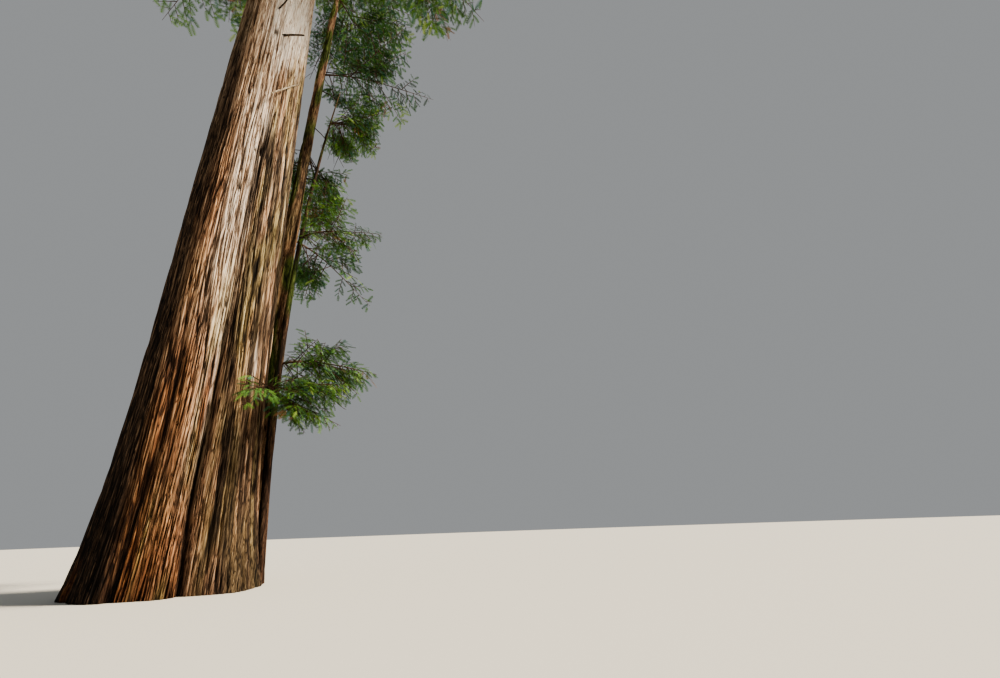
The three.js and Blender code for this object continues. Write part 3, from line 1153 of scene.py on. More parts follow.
@dataclass
class Limb:
    """A tapering limb along a curve, with its own fibrous bark."""

    curve: Curve
    radius_at: Callable[[Array], Array]
    sides: int
    rings: int
    seed: int
    ridge_depth: float
    ridge_count: int
    ridge_length: float
    swelling: float = 0.05

    def build(self, marks_at: Callable[[Array, Array, Array, Array], Marks]) -> bpy.types.Mesh:
        """Builds the limb.

        Args:
            marks_at: Gives marks from shares of a turn, shares of the run, points and ridge heights.

        Returns:
            The mesh, with its marks.
        """
        mesh = tube(self.sides, self.rings)
        turn, share, bearing = stations(mesh)
        side, over = beside(self.curve.tangent(share))
        z = share * float(np.linalg.norm(self.curve.tip - self.curve.foot))
        ridges = Grain(self.ridge_count, self.ridge_length, self.seed)
        plates = Grain(max(4, self.ridge_count // 3), self.ridge_length * 2.5, self.seed + 1)
        height = 0.6 * crest(ridges(turn, z), 0.45) + 0.4 * crest(plates(turn, z), 0.5)
        thick = self.radius_at(share)
        thick = thick + self.ridge_depth * thick * (height - 0.7) + self.swelling * thick * plates(turn, z)
        points = self.curve.point(share)
        points = points + side * (thick * np.cos(bearing))[:, None]
        points = points + over * (thick * np.sin(bearing))[:, None]
        points[:, 2] = np.maximum(points[:, 2], 0)
        dress(mesh, points, marks_at(turn, share, points, height))
        return mesh


@dataclass
class YoungStem:
    """A younger stem of the clump, bent through a foot, a middle and a tip."""

    name: str
    foot: tuple[float, float, float]
    middle: tuple[float, float, float]
    tip: tuple[float, float, float]
    radius: float
    tip_radius: float
    taper: float
    sides: int
    rings: int
    seed: int
    slot: Slot
    moss_share: float
    moss_from: tuple[float, float]
    # How dark the stem is with damp and painted shade, and how much less dark its foot is.
    damp: float
    less_dark_foot: float
    less_dark_to: tuple[float, float] = (5.0, 6.6)
    peels_from: tuple[float, float] = (7.2, 8.8)
    shaded_side: Area = Area(-165, 100, 30)

    @property
    def curve(self) -> Curve:
        """The stem's middle line."""
        foot, middle, tip = (np.array(p) for p in (self.foot, self.middle, self.tip))
        return Curve(foot, 2 * middle - 0.5 * foot - 0.5 * tip, tip)

    def radius_at(self, t: Array) -> Array:
        """The stem's radius at shares of its run."""
        return np.maximum(self.tip_radius, self.radius * np.maximum(0, 1 - np.asarray(t)) ** self.taper)

    def marks(self, turn: Array, share: Array, points: Array, height: Array) -> Marks:
        """Moss in patches on the stem, mostly on its shaded side, damp and painted shade that is darkest
        there, and peeled bark above.

        Args:
            turn: Shares of a turn.
            share: Shares of the run.
            points: The bark's points.
            height: The height of its ridges.

        Returns:
            The values of each mark.
        """
        z = points[:, 2]
        patches = Grain(6, 0.45, self.seed + 5)(turn, z)
        away = points - self.curve.point(share)
        shaded = self.shaded_side.share(np.degrees(np.arctan2(away[:, 1], away[:, 0])), z)
        moss = smooth(1.1 - 1.6 * self.moss_share, 1.7 - 1.4 * self.moss_share, patches + 0.7 * shaded)
        moss = moss * smooth(*self.moss_from, z)
        peeled = smooth(*self.peels_from, z)
        # The stem's darkness is damp and painted shade, more on its shaded side and less at its foot.
        less_dark = mix(1 - self.less_dark_foot, 1.0, smooth(*self.less_dark_to, z))
        damp = (self.damp + 0.3 * shaded) * (1 - peeled) * less_dark
        return {
            Mark.CREST: height,
            Mark.MOSS: moss * 0.95,
            Mark.PALE: mix(0.2, 0.95, peeled),
            Mark.LICHEN: smooth(0.2, 1.6, -patches) * 0.5,
            Mark.DAMP: damp * (1 - 0.5 * moss),
        }

    def build(self, finish: bpy.types.Material) -> None:
        """Builds the stem's bark."""
        limb = Limb(self.curve, self.radius_at, self.sides, self.rings, self.seed, 0.2, self.sides // 2, 0.2)
        piece(limb.build(self.marks), f"{self.name}_bark", [finish], [self.name])


@dataclass(frozen=True)
class Bough:
    """One bough of the crown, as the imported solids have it."""

    number: int
    s: float
    bearing: float
    reach: float
    curve: Curve
    radii: tuple[float, float]

    def radius_at(self, t: Array) -> Array:
        """The bough's radius at shares of its run, with a collar where it leaves the trunk."""
        t = np.asarray(t)
        return mix(self.radii[0], self.radii[1], t) * (1 + 0.35 * np.exp(-t / 0.16))


@dataclass
class Crown:
    """Boughs that spiral up the trunk. Pairs give the value at the lowest and at the highest bough."""

    trunk: Trunk
    base: float = 13.6
    top: float = 33.6
    widest: float = 4.1
    narrowing: float = 0.72
    underside: float = 0.68
    underside_share: float = 0.22
    count: int = 20
    crowding: float = 0.92
    first_bearing: float = 205
    bearing_play: float = 9
    reach_play: tuple[float, float] = (0.9, 1.08)
    bare_share: float = 0.25
    rise: tuple[float, float] = (0.1, 0.5)
    fall: tuple[float, float] = (0.34, 0.12)
    radius: tuple[float, float] = (0.088, 0.037)
    tip_share: float = 0.5
    buried: float = 0.4
    berth_bearing: float = 18
    berth_half: float = 34
    berth_top: float = 17.6
    first_seed: int = 1000
    seed_step: int = 77
    weathered: float = 0.25

    def reach(self, z: float) -> float:
        """How far the crown reaches from the trunk at a height.

        Args:
            z: The height.

        Returns:
            The reach.
        """
        s = (z - self.base) / (self.trunk.height - self.base)
        rounding = mix(self.underside, 1, min(1, s / self.underside_share))
        return self.widest * (1 - s) ** self.narrowing * rounding

    def bearing(self, number: int, z: float, play: float) -> float:
        """A bough's bearing, moved aside where it would meet the second stem.

        Args:
            number: The bough's number, counted from the lowest.
            z: Its height on the trunk.
            play: How far it strays from the spiral.

        Returns:
            The bearing.
        """
        bearing = self.first_bearing + number * GOLDEN_ANGLE + play
        off_stem = turned(bearing - self.berth_bearing)
        if z >= self.berth_top or abs(off_stem) > self.berth_half:
            return bearing
        return self.berth_bearing + math.copysign(self.berth_half, off_stem)

    def bough(self, number: int) -> Bough:
        """The bough of one number, counted from the lowest.

        Args:
            number: Its number, from 0.

        Returns:
            The bough.
        """
        random = Seeded(self.first_seed + number * self.seed_step)
        s = number / (self.count - 1)
        z = mix(self.base, self.top, s**self.crowding)
        bearing = self.bearing(number, z, self.bearing_play * mix(-1, 1, random()))
        reach = self.reach(z) * mix(*self.reach_play, random())
        length = float(self.trunk.radius(z)) + reach * self.bare_share
        rise, fall = mix(*self.rise, s), mix(*self.fall, s)
        out = level(bearing)
        root = self.trunk.middle(z) + out * float(self.trunk.radius(z)) * self.buried
        curve = Curve(
            root,
            root + out * length / 2 + UP * rise * length / 2,
            root + out * length + UP * (rise - fall) * length,
        )
        thick = mix(*self.radius, s)
        return Bough(number, s, bearing, reach, curve, (thick, thick * self.tip_share))

    def boughs(self) -> list[Bough]:
        """Every bough, from the lowest."""
        return [self.bough(number) for number in range(self.count)]

    def build(self, finish: bpy.types.Material) -> None:
        """Builds every bough's bark as one piece.

        Args:
            finish: The bark's material.
        """
        boughs = self.boughs()
        limbs = [
            Limb(
                curve=bough.curve,
                radius_at=bough.radius_at,
                sides=20,
                rings=36,
                seed=300 + bough.number,
                ridge_depth=0.2,
                ridge_count=12,
                ridge_length=0.16,
            )
            for bough in boughs
        ]
        meshes = [limb.build(lambda turn, share, points, height: self.marks(height)) for limb in limbs]
        names = [f"bough_{bough.number + 1:02d}" for bough in boughs]
        piece(joined(meshes), "boughs_bark", [finish], names)

    def marks(self, height: Array) -> Marks:
        """A bough's bark, a little weathered all over, from the height of its ridges."""
        return {Mark.CREST: height, Mark.PALE: self.weathered}


@dataclass(frozen=True)
class DeadStub:
    """A broken dead limb: its foot and end, its radius at each, its bend, and how pale and damp it is."""

    foot: tuple[float, float, float]
    end: tuple[float, float, float]
    thick: float
    thin: float
    bend: float
    pale: float
    damp: float

    def radius_at(self, t: Array) -> Array:
        """Its radius at shares of its run."""
        return mix(self.thick, self.thin, t)

    def marks(self, height: Array) -> Marks:
        """Its wood's tone, from the height of its splinters."""
        return {Mark.CREST: height, Mark.PALE: self.pale, Mark.DAMP: self.damp}

    def build(self, number: int, finish: bpy.types.Material) -> None:
        """Builds the stub, slightly bent and broken off, as a piece of its own.

        Args:
            number: Its number, counted from 1.
            finish: Its wood's material.
        """
        start, end = np.array(self.foot), np.array(self.end)
        curve = Curve(start, (start + end) / 2 + UP * self.bend, end)
        limb = Limb(
            curve=curve,
            radius_at=self.radius_at,
            sides=12,
            rings=40,
            seed=500 + number,
            ridge_depth=0.5,
            ridge_count=8,
            ridge_length=0.06,
        )
        mesh = limb.build(lambda turn, share, points, height: self.marks(height))
        piece(mesh, f"dead_stub_{number}_wood", [finish], [f"dead_stub_{number}"])


DEAD_STUBS = (
    DeadStub((-0.24, -0.47, 8.8), (0.205, -0.74, 8.84), 0.024, 0.012, 0.05, 0.1, 0.95),
    DeadStub((0.3, -0.31, 8.12), (-0.08, -0.95, 6.96), 0.015, 0.013, 0.03, 0.9, 0.0),
    DeadStub((-0.35, -0.45, 9.33), (-0.14, -0.7, 9.7), 0.02, 0.008, -0.04, 0.1, 0.95),
)


# Foliage


@dataclass(frozen=True)
class Fineness:
    """How finely one kind of mass is grown, in metres. A needle's sizes are shares of its spray's length."""

    spray: float
    lateral_step: float
    spray_step: float
    pairs: int
    extra_fronds: int
    needle_length: float
    needle_width: float
    tint_shift: float = 0.0


FINENESS = {
    Kind.CROWN: Fineness(0.27, 0.135, 0.09, 7, 26, 0.3, 0.085),
    Kind.LEADER: Fineness(0.22, 0.11, 0.08, 7, 26, 0.3, 0.085),
    Kind.SECOND_STEM: Fineness(0.16, 0.075, 0.052, 9, 20, 0.26, 0.07),
    # The sprout's sprays are dealt darker tints, painted shade.
    Kind.SPROUT: Fineness(0.13, 0.055, 0.043, 9, 38, 0.27, 0.06, -0.35),
}


@dataclass(frozen=True)
class SprayPattern:
    """One flat spray of needles in two ranks, lying along X at a length of 1."""

    pairs: int
    needle_length: float
    needle_width: float
    forward: float = 52
    bend: float = 0.16
    fall: float = 0.25
    leafy: tuple[float, float] = (0.1, 0.93)
    last: float = 0.9
    stagger: float = 0.03
    shortest: float = 0.04
    shoot: float = 0.012

    def needle(self, x: float, length: float, hand: float) -> list[tuple[float, ...]]:
        """One needle.

        Args:
            x: Where it leaves the shoot.
            length: Its length.
            hand: 1 or -1 for the side that it is on, and 0 at the shoot's end.

        Returns:
            Its three points, with its tip in the middle.
        """
        angle = math.radians(self.forward) * hand
        out = np.array((math.cos(angle), math.sin(angle), -self.fall * abs(hand)))
        across = np.array((-math.sin(angle), math.cos(angle), 0.0)) * self.needle_width / 2
        root = np.array((x, 0.0, -self.bend * x * x))
        return [tuple(p) for p in (root - across, root + out * length, root + across)]

    def template(self) -> tuple[Array, Array]:
        """The spray's points and triangles."""
        needles = [(x, hand) for x in np.linspace(*self.leafy, self.pairs) for hand in (1.0, -1.0)]
        points: list[tuple[float, ...]] = []
        for number, (x, hand) in enumerate((*needles, (self.last, 0.0))):
            profile = math.sin(math.pi * min(1, 0.2 + 0.72 * x)) ** 0.6
            stagger = self.stagger if number % 2 else 0.0
            points += self.needle(x + stagger, self.needle_length * profile + self.shortest, hand)
        first = len(points)
        triangles = [(k, k + 1, k + 2) for k in range(0, first, 3)]
        points += [(-0.05, -self.shoot, 0.0), (0.5, 0.0, -self.bend * 0.25), (-0.05, self.shoot, 0.0)]
        points += [(0.96, 0.0, -self.bend * 0.92)]
        triangles += [(first, first + 1, first + 2), (first + 1, first + 3, first + 2)]
        return np.array(points), np.array(triangles)


@dataclass
class Growth:
    """What a mass has grown, as arrays.

    Each entry of twigs has lines of three points, and a radius at each. Each entry of sprays has where they
    start, how they lie, their sides, their lengths and their tints.
    """

    name: str
    twigs: list[tuple[Array, ...]] = field(default_factory=list)
    sprays: list[tuple[Array, ...]] = field(default_factory=list)

    @property
    def spray_count(self) -> int:
        """How many sprays there are."""
        return sum(len(each[0]) for each in self.sprays)


def gathered(entries: Iterable[tuple[Array, ...]]) -> list[Array]:
    """The entries' arrays, with those of the same place joined."""
    return [np.concatenate(arrays) for arrays in zip(*entries, strict=True)]


@dataclass(frozen=True)
class Mass:
    """One mass of needles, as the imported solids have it: its stem, its twigs' rule and its own space."""

    name: str
    kind: Kind
    start: Array
    heading: Array
    bearing: float
    length: float
    spread: float
    radius: float
    seed: int
    droop: float = 0.22
    twigs: int = 3
    turn: tuple[float, float] = (36, 72)
    slope: tuple[float, float] = (-1.1, 0.6)

    @property
    def curve(self) -> Curve:
        """The stem, which goes out along its heading and then droops."""
        tip = self.start + self.heading * self.length - UP * self.droop * self.length
        return Curve(self.start, self.start + self.heading * self.length / 2, tip)


@dataclass(frozen=True)
class CrownMasses:
    """Masses at boughs' tips, in shares of a bough's reach. Pairs are the lowest and highest bough's."""

    length: float = 0.475
    droop: tuple[float, float] = (0.3, 0.12)
    spread: tuple[float, float] = (0.64, 0.86)
    twigs: int = 6
    turn: tuple[float, float] = (34, 98)
    slope: tuple[float, float] = (-1.3, 0.9)
    clear: float = 0.0003
    first_seed: int = 40

    def mass(self, bough: Bough) -> Mass:
        """The mass that grows on from a bough's tip.

        Args:
            bough: The bough.

        Returns:
            The mass.
        """
        heading = bough.curve.tangent(1)
        return Mass(
            name=f"crown_mass_{bough.number + 1:02d}",
            kind=Kind.CROWN,
            start=bough.curve.point(1) + heading * self.clear,
            heading=heading,
            bearing=bough.bearing,
            length=bough.reach * self.length,
            spread=bough.reach * mix(*self.spread, bough.s),
            radius=bough.radii[1],
            seed=self.first_seed + bough.number,
            droop=mix(*self.droop, bough.s),
            twigs=self.twigs,
            turn=self.turn,
            slope=self.slope,
        )


@dataclass(frozen=True)
class LeaderMasses:
    """Masses round the leader. Pairs give the value at the lowest and at the highest mass."""

    count: int = 5
    height: tuple[float, float] = (34.4, 38.5)
    first_bearing: float = 60
    rise: tuple[float, float] = (0.3, 1.5)
    length: tuple[float, float] = (1.25, 0.76)
    spread: tuple[float, float] = (1.35, 0.95)
    radius: tuple[float, float] = (0.034, 0.013)
    first_seed: int = 80

    def mass(self, trunk: Trunk, number: int) -> Mass:
        """The mass of one number round a trunk's leader, counted from the lowest.

        Args:
            trunk: The trunk.
            number: The mass's number, from 0.

        Returns:
            The mass.
        """
        s = number / (self.count - 1)
        bearing = self.first_bearing + number * GOLDEN_ANGLE
        return Mass(
            name=f"leader_mass_{number + 1:02d}",
            kind=Kind.LEADER,
            start=trunk.middle(mix(*self.height, s)),
            heading=sloping(bearing, mix(*self.rise, s)),
            bearing=bearing,
            length=mix(*self.length, s),
            spread=mix(*self.spread, s),
            radius=mix(*self.radius, s),
            seed=self.first_seed + number,
        )


@dataclass(frozen=True)
class StemMass:
    """A mass on a younger stem: where it stands, its heading and its size."""

    at: float
    bearing: float
    rise: float
    length: float
    spread: float
    twigs: int = 3
    slope: tuple[float, float] = (-1.1, 0.6)
    radius: float = 0.022
    seed_step: int = 9

    def mass(self, kind: Kind, stem: YoungStem, number: int, first_seed: int) -> Mass:
        """The mass on its stem.

        Args:
            kind: Which stem it is.
            stem: The stem.
            number: The mass's number, counted from the lowest.
            first_seed: The lowest mass's seed.

        Returns:
            The mass.
        """
        return Mass(
            name=f"{kind.value}_mass_{number + 1:02d}",
            kind=kind,
            start=stem.curve.point(self.at),
            heading=sloping(self.bearing, self.rise),
            bearing=self.bearing,
            length=self.length,
            spread=self.spread,
            radius=self.radius,
            seed=first_seed + self.seed_step * number,
            twigs=self.twigs,
            slope=self.slope,
        )


SECOND_STEM_MASSES = (
    StemMass(0.42, 30, 0.15, 1.0, 0.98, 4),
    StemMass(0.54, 66, 0.1, 1.1, 1.0),
    StemMass(0.65, -26, 0.15, 1.2, 1.05),
    StemMass(0.78, 44, 0.35, 1.15, 1.0),
    StemMass(0.92, -20, 1.0, 1.0, 0.95),
)
SPROUT_MASSES = (
    StemMass(0.285, 254, 0.12, 0.74, 0.76, 5, (-0.5, 0.3)),
    StemMass(0.34, -36, 0.2, 0.7, 0.76, 5, (-0.5, 0.3)),
    StemMass(0.6, -42, 0.25, 0.7, 0.72),
    StemMass(0.9, 24, 1.2, 0.62, 0.7),
)


@dataclass(frozen=True)
class TwigRule:
    """How twigs leave the stem of a mass, as ranges."""

    along: tuple[float, float] = (0.08, 0.86)
    play: float = 0.5
    slope_step: float = 0.618
    slope_play: float = 0.3
    length: tuple[float, float] = (0.42, 0.62)
    tip_shorter: float = 0.5
    blade_length: tuple[float, float] = (0.95, 1.25)
    end_length: float = 1.15
    slimness: float = 0.6
    tilt: float = 0.8
    end_tilt: float = 0.2
    sunk: float = 0.06
    sizes_tried: tuple[float, ...] = (1, 0.75, 0.5, 0.35)
    space_middle: float = 0.6
    tip_found_within: float = 0.03
    sag: float = 0.02


@dataclass(frozen=True)
class FinerRule:
    """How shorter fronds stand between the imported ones, and the sizes that are tried until one fits."""

    along: tuple[float, float] = (0.1, 0.9)
    turn: tuple[float, float] = (20, 115)
    slope: tuple[float, float] = (-1.1, 0.7)
    tilt: tuple[float, float] = (-0.5, 0.5)
    length: tuple[float, float] = (1.35, 0.95)
    length_play: tuple[float, float] = (0.85, 1.05)
    sizes_tried: tuple[float, ...] = (1.0, 0.8, 0.62, 0.46, 0.32)
    tested_at: tuple[float, ...] = (0.55, 0.8, 1.0)
    blade_share: float = 0.82
    slimness: float = 0.22
    sag: float = 0.06


@dataclass(frozen=True)
class SideTwigRule:
    """How side twigs leave a frond. Thick is the least, how much it grows by reach, and the most."""

    bare: float = 0.22
    most_bare: float = 0.5
    fewest: int = 4
    play: float = 0.6
    width_play: tuple[float, float] = (0.75, 1.08)
    turn: tuple[float, float] = (42, 64)
    lift: tuple[float, float] = (-0.3, 0.3)
    hang: tuple[float, float] = (0.0, 0.38)
    least_reach: float = 0.06
    droop: tuple[float, float] = (0.05, 0.3)
    thick: tuple[float, float, float] = (0.004, 0.012, 0.011)
    thins: tuple[float, float, float] = (1.0, 0.75, 0.3)
    frond_radii: tuple[float, float, float] = (0.017, 0.012, 0.004)


@dataclass(frozen=True)
class SprayRule:
    """How sprays leave a side twig, in degrees and shares, and how their tints are dealt."""

    turn: tuple[float, float] = (34, 60)
    last_turn: float = 0.15
    last_at: float = 0.97
    first_at: float = 0.35
    step_play: float = 0.5
    run_on: float = 0.6
    last_longer: float = 1.1
    hang: tuple[float, float] = (0.05, 0.45)
    plane_play: float = 0.28
    length: tuple[float, float] = (1.05, 0.8)
    length_play: tuple[float, float] = (0.72, 1.15)
    dead_share: float = 0.018
    cool_share: float = 0.1
    frond_play: float = 0.38
    tint_play: float = 0.34
    fresher_along_frond: float = 0.9
    even_at: float = 0.55
    fresher_along_twig: float = 0.5
    tint_steps: tuple[float, float, float] = (-0.42, 0.3, 0.85)


@dataclass(frozen=True)
class LeaderShoots:
    """Short leafy shoots round the leader. Their length and slope are given below and at its tip."""

    grown_with: str = "leader_mass_05"
    low: float = 33.0
    step: float = 0.04
    tip_from: float = 38.0
    length: tuple[float, float] = (0.42, 0.15)
    slope: tuple[float, float] = (0.25, 2.0)
    radii: tuple[float, float, float] = (0.007, 0.005, 0.002)
    sprays: int = 7
    spray_share: float = 0.62
    least: float = 0.03
    bearing_play: float = 20
    length_play: tuple[float, float] = (0.75, 1.1)
    along: tuple[float, float] = (0.35, 1.0)
    turn: tuple[float, float] = (30, 55)
    spray_play: tuple[float, float] = (0.8, 1.1)
    clear_of_top: float = 0.08


@dataclass(frozen=True)
class Frond:
    """A leafy twig: its root, how it lies, its length, its blade's share and half width, and its sag."""

    root: Array
    along: Array
    side: Array
    length: float
    blade_share: float
    half_width: float
    sag: float


@dataclass(frozen=True)
class SideTwigs:
    """A frond's side twigs, as arrays: place along it, root, direction, reach, droop and hand."""

    at: Array
    roots: Array
    out: Array
    reach: Array
    droop: Array
    hand: Array

    def points(self, f: float | Array, which: Array | slice = slice(None)) -> Array:
        """The points a share f along those of the side twigs that are asked for."""
        far, fall = self.reach[which] * f, self.droop[which] * f * f
        return self.roots[which] + self.out[which] * far[:, None] - UP * fall[:, None]


# The halves of a run, each as a line of three points.
HALVES = np.array(((0.0, 0.25, 0.5), (0.5, 0.75, 1.0)))
# How wide a frond is along its blade, as a share of its widest. Below 0 it is still the bare twig's share.
FROND_AT = (-1.0, -0.25, 0.0, 0.16, 0.42, 0.6, 0.8, 1.0)
FROND_WIDTH = (0.3, 0.45, 0.55, 0.8, 1.0, 0.74, 0.45, 0.1)


@dataclass
class Foliage:
    """The masses of needles, each grown inside the space that its solid keeps."""

    trunk: Trunk
    crown: Crown
    second: YoungStem
    sprout: YoungStem
    rule: TwigRule = TwigRule()
    finer: FinerRule = FinerRule()
    side_rule: SideTwigRule = SideTwigRule()
    spray_rule: SprayRule = SprayRule()
    shoots: LeaderShoots = LeaderShoots()
    below_top: float = 0.02
    past_neighbour: float = 0.02
    off_trunk: float = 1.03
    off_bark: float = 0.01
    second_stem_seed: int = 131
    sprout_seed: int = 126
    masses: list[Mass] = field(init=False)
    middles: Array = field(init=False)
    boxes: dict[str, Array] = field(init=False)

    def __post_init__(self) -> None:
        """Lists the masses, and the middles and boxes of their spaces."""
        leader = LeaderMasses()
        self.masses = [CrownMasses().mass(bough) for bough in self.crown.boughs()]
        self.masses += [leader.mass(self.trunk, number) for number in range(leader.count)]
        for kind, stem, masses, seed in (
            (Kind.SECOND_STEM, self.second, SECOND_STEM_MASSES, self.second_stem_seed),
            (Kind.SPROUT, self.sprout, SPROUT_MASSES, self.sprout_seed),
        ):
            self.masses += [each.mass(kind, stem, number, seed) for number, each in enumerate(masses)]
        self.middles = np.array([m.curve.point(self.rule.space_middle) for m in self.masses])
        self.boxes = {m.name: np.array(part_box(m.name)) for m in self.masses}

    def inside(self, mass: Mass, points: Array, past_box: float = 0.04) -> Array:
        """Which points a mass may fill.

        Args:
            mass: The mass.
            points: The points to test.
            past_box: How far past its solid's box the mass may go.

        Returns:
            True for each point in its box, nearer to its middle than to any other's, and clear of the stems.
        """
        low, high = self.boxes[mass.name]
        fits = np.all((points > low - past_box) & (points < high + past_box), -1)
        fits &= points[:, 2] < self.trunk.height - self.below_top
        own = [m.name for m in self.masses].index(mass.name)
        near = np.linalg.norm(points[:, None] - self.middles, axis=-1)
        fits &= near[:, own] < np.delete(near, own, 1).min(1) + self.past_neighbour
        z = np.clip(points[:, 2], 0, self.trunk.height)
        from_middle = np.linalg.norm((points - self.trunk.middle(z))[:, :2], axis=-1)
        fits &= from_middle > self.trunk.radius(z) * self.off_trunk + self.off_bark
        run = np.linspace(0, 1, 60)
        for stem in (self.second, self.sprout):
            line = stem.curve.point(run)
            at = np.stack([np.interp(z, line[:, 2], line[:, k]) for k in (0, 1)], -1)
            thick = np.interp(z, line[:, 2], stem.radius_at(run)) + self.off_bark
            fits &= np.linalg.norm(points[:, :2] - at, axis=-1) > np.where(z < line[-1, 2], thick, 0)
        return fits

    def fronds(self, mass: Mass) -> list[Frond]:
        """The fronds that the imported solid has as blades, drawn by the same rule and the same seed.

        Args:
            mass: The mass.

        Returns:
            One frond for each blade that the solid took.
        """
        rule, random, curve = self.rule, Seeded(mass.seed), mass.curve
        solid = points_of(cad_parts[mass.name].data)
        found: list[Frond] = []

        def keep(root: Array, along: Array, side: Array, twig: float, blade: float) -> None:
            """Keeps the frond at the size whose tip the solid has.

            Args:
                root: Where the frond starts.
                along: Its direction.
                side: The direction to its side.
                twig: Its bare twig's length.
                blade: Its blade's length.
            """
            for share in rule.sizes_tried:
                length = twig * share - rule.sunk + blade * share
                tip = root + along * length
                if np.linalg.norm(solid - tip, axis=1).min() < rule.tip_found_within:
                    half = blade * share * rule.slimness / 2
                    found.append(Frond(root, along, side, length, blade * share / length, half, rule.sag))
                    return

        for i in range(mass.twigs):
            t = mix(*rule.along, (i + random() * rule.play) / (mass.twigs - rule.play))
            bearing = mass.bearing + (-1 if i % 2 else 1) * mix(*mass.turn, random())
            slope_share = (i * rule.slope_step + random() * rule.slope_play) % 1
            along = sloping(bearing, mix(*mass.slope, slope_share))
            twig = mass.spread * mix(1, rule.tip_shorter, t) * mix(*rule.length, random())
            side = sloping(bearing + 90, rule.tilt * mix(-1, 1, random()))
            blade = mass.spread * mix(*rule.blade_length, random())
            keep(curve.point(t), along, side, twig, blade)
        side = sloping(mass.bearing + 90, rule.end_tilt * mix(-1, 1, random()))
        keep(curve.point(1), curve.tangent(1), side, 0.0, mass.spread * rule.end_length)
        return found

    def finer_fronds(self, mass: Mass, rng: np.random.Generator) -> list[Frond]:
        """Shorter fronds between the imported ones, by the same rule and inside the same space.

        Args:
            mass: The mass.
            rng: The mass's random source.

        Returns:
            The fronds that fit.
        """
        rule, found = self.finer, []
        count = FINENESS[mass.kind].extra_fronds
        for i in range(count):
            t = (i + rng.uniform(*rule.along)) / count
            bearing = mass.bearing + (-1 if i % 2 else 1) * rng.uniform(*rule.turn)
            along = sloping(bearing, rng.uniform(*rule.slope))
            side = sloping(bearing + 90, rng.uniform(*rule.tilt))
            side = unit(side - along * (side @ along))
            root = mass.curve.point(t)
            for share in rule.sizes_tried:
                length = mass.spread * mix(*rule.length, t) * rng.uniform(*rule.length_play) * share
                tips = root + along * length * np.array(rule.tested_at)[:, None]
                if self.inside(mass, tips, 0.0).all():
                    half = length * rule.slimness
                    found.append(Frond(root, along, side, length, rule.blade_share, half, rule.sag))
                    break
        return found

    def side_twigs(
        self, frond: Frond, side: Array, over: Array, step: float, rng: np.random.Generator
    ) -> SideTwigs:
        """Draws a frond's side twigs, one to either side in turn.

        Args:
            frond: The frond.
            side: The direction to its side.
            over: The direction out of its flat upper face.
            step: How far apart its side twigs stand.
            rng: The mass's random source.

        Returns:
            The side twigs.
        """
        rule = self.side_rule
        leafy_from = min(rule.most_bare, rule.bare / frond.length)
        count = max(rule.fewest, round(frond.length * (1 - leafy_from) / step))
        order = np.arange(count)
        s = leafy_from + (1 - leafy_from) * (order + rng.uniform(0, rule.play, count)) / count
        sag = -UP * (frond.sag * frond.length * s**2)[:, None]
        roots = frond.root + frond.along * (frond.length * s)[:, None] + sag
        on_blade = (s - (1 - frond.blade_share)) / frond.blade_share
        width = np.interp(on_blade, FROND_AT, FROND_WIDTH) * rng.uniform(*rule.width_play, count)
        turn = np.radians(rng.uniform(*rule.turn, count))
        hand = np.where(order % 2 == 0, 1.0, -1.0)
        out = frond.along * np.cos(turn)[:, None] + side * (hand * np.sin(turn))[:, None]
        lift, hang = (rng.uniform(*limits, (count, 1)) for limits in (rule.lift, rule.hang))
        out = unit(out + over * lift - UP * hang)
        reach = np.maximum(rule.least_reach, frond.half_width * width / np.sin(turn))
        return SideTwigs(s, roots, out, reach, rng.uniform(*rule.droop, count) * reach, hand)

    def grow_frond(self, growth: Growth, mass: Mass, frond: Frond, rng: np.random.Generator) -> None:
        """Grows one frond: its own twig, side twigs to both sides, and sprays along them.

        Args:
            growth: Takes the twigs and the sprays.
            mass: The mass, whose space the frond keeps to.
            frond: The frond.
            rng: The mass's random source.
        """
        fine, rule = FINENESS[mass.kind], self.side_rule
        side = unit(frond.side - frond.along * (frond.side @ frond.along))
        over = np.cross(frond.along, side)
        over = over if over[2] > 0 else -over
        twigs = self.side_twigs(frond, side, over, fine.lateral_step, rng)
        middles, ends = twigs.points(0.5), twigs.points(1.0)
        fits = self.inside(mass, np.concatenate((middles, ends))).reshape(2, -1).all(0)
        least, by_reach, most = rule.thick
        thick = np.minimum(least + by_reach * twigs.reach, most)[fits]
        lines = np.stack((twigs.roots, middles, ends), 1)[fits]
        growth.twigs.append((lines, thick[:, None] * np.array(rule.thins)))
        run = np.array((0.0, 0.5, 1.0))[:, None]
        line = frond.root + frond.along * frond.length * run - UP * frond.sag * frond.length * run**2
        radii = np.array(rule.frond_radii) * min(1, max(0.5, frond.length / 2))
        growth.twigs.append((line[None], radii[None]))
        self.grow_sprays(growth, mass, twigs, fits, over, rng)

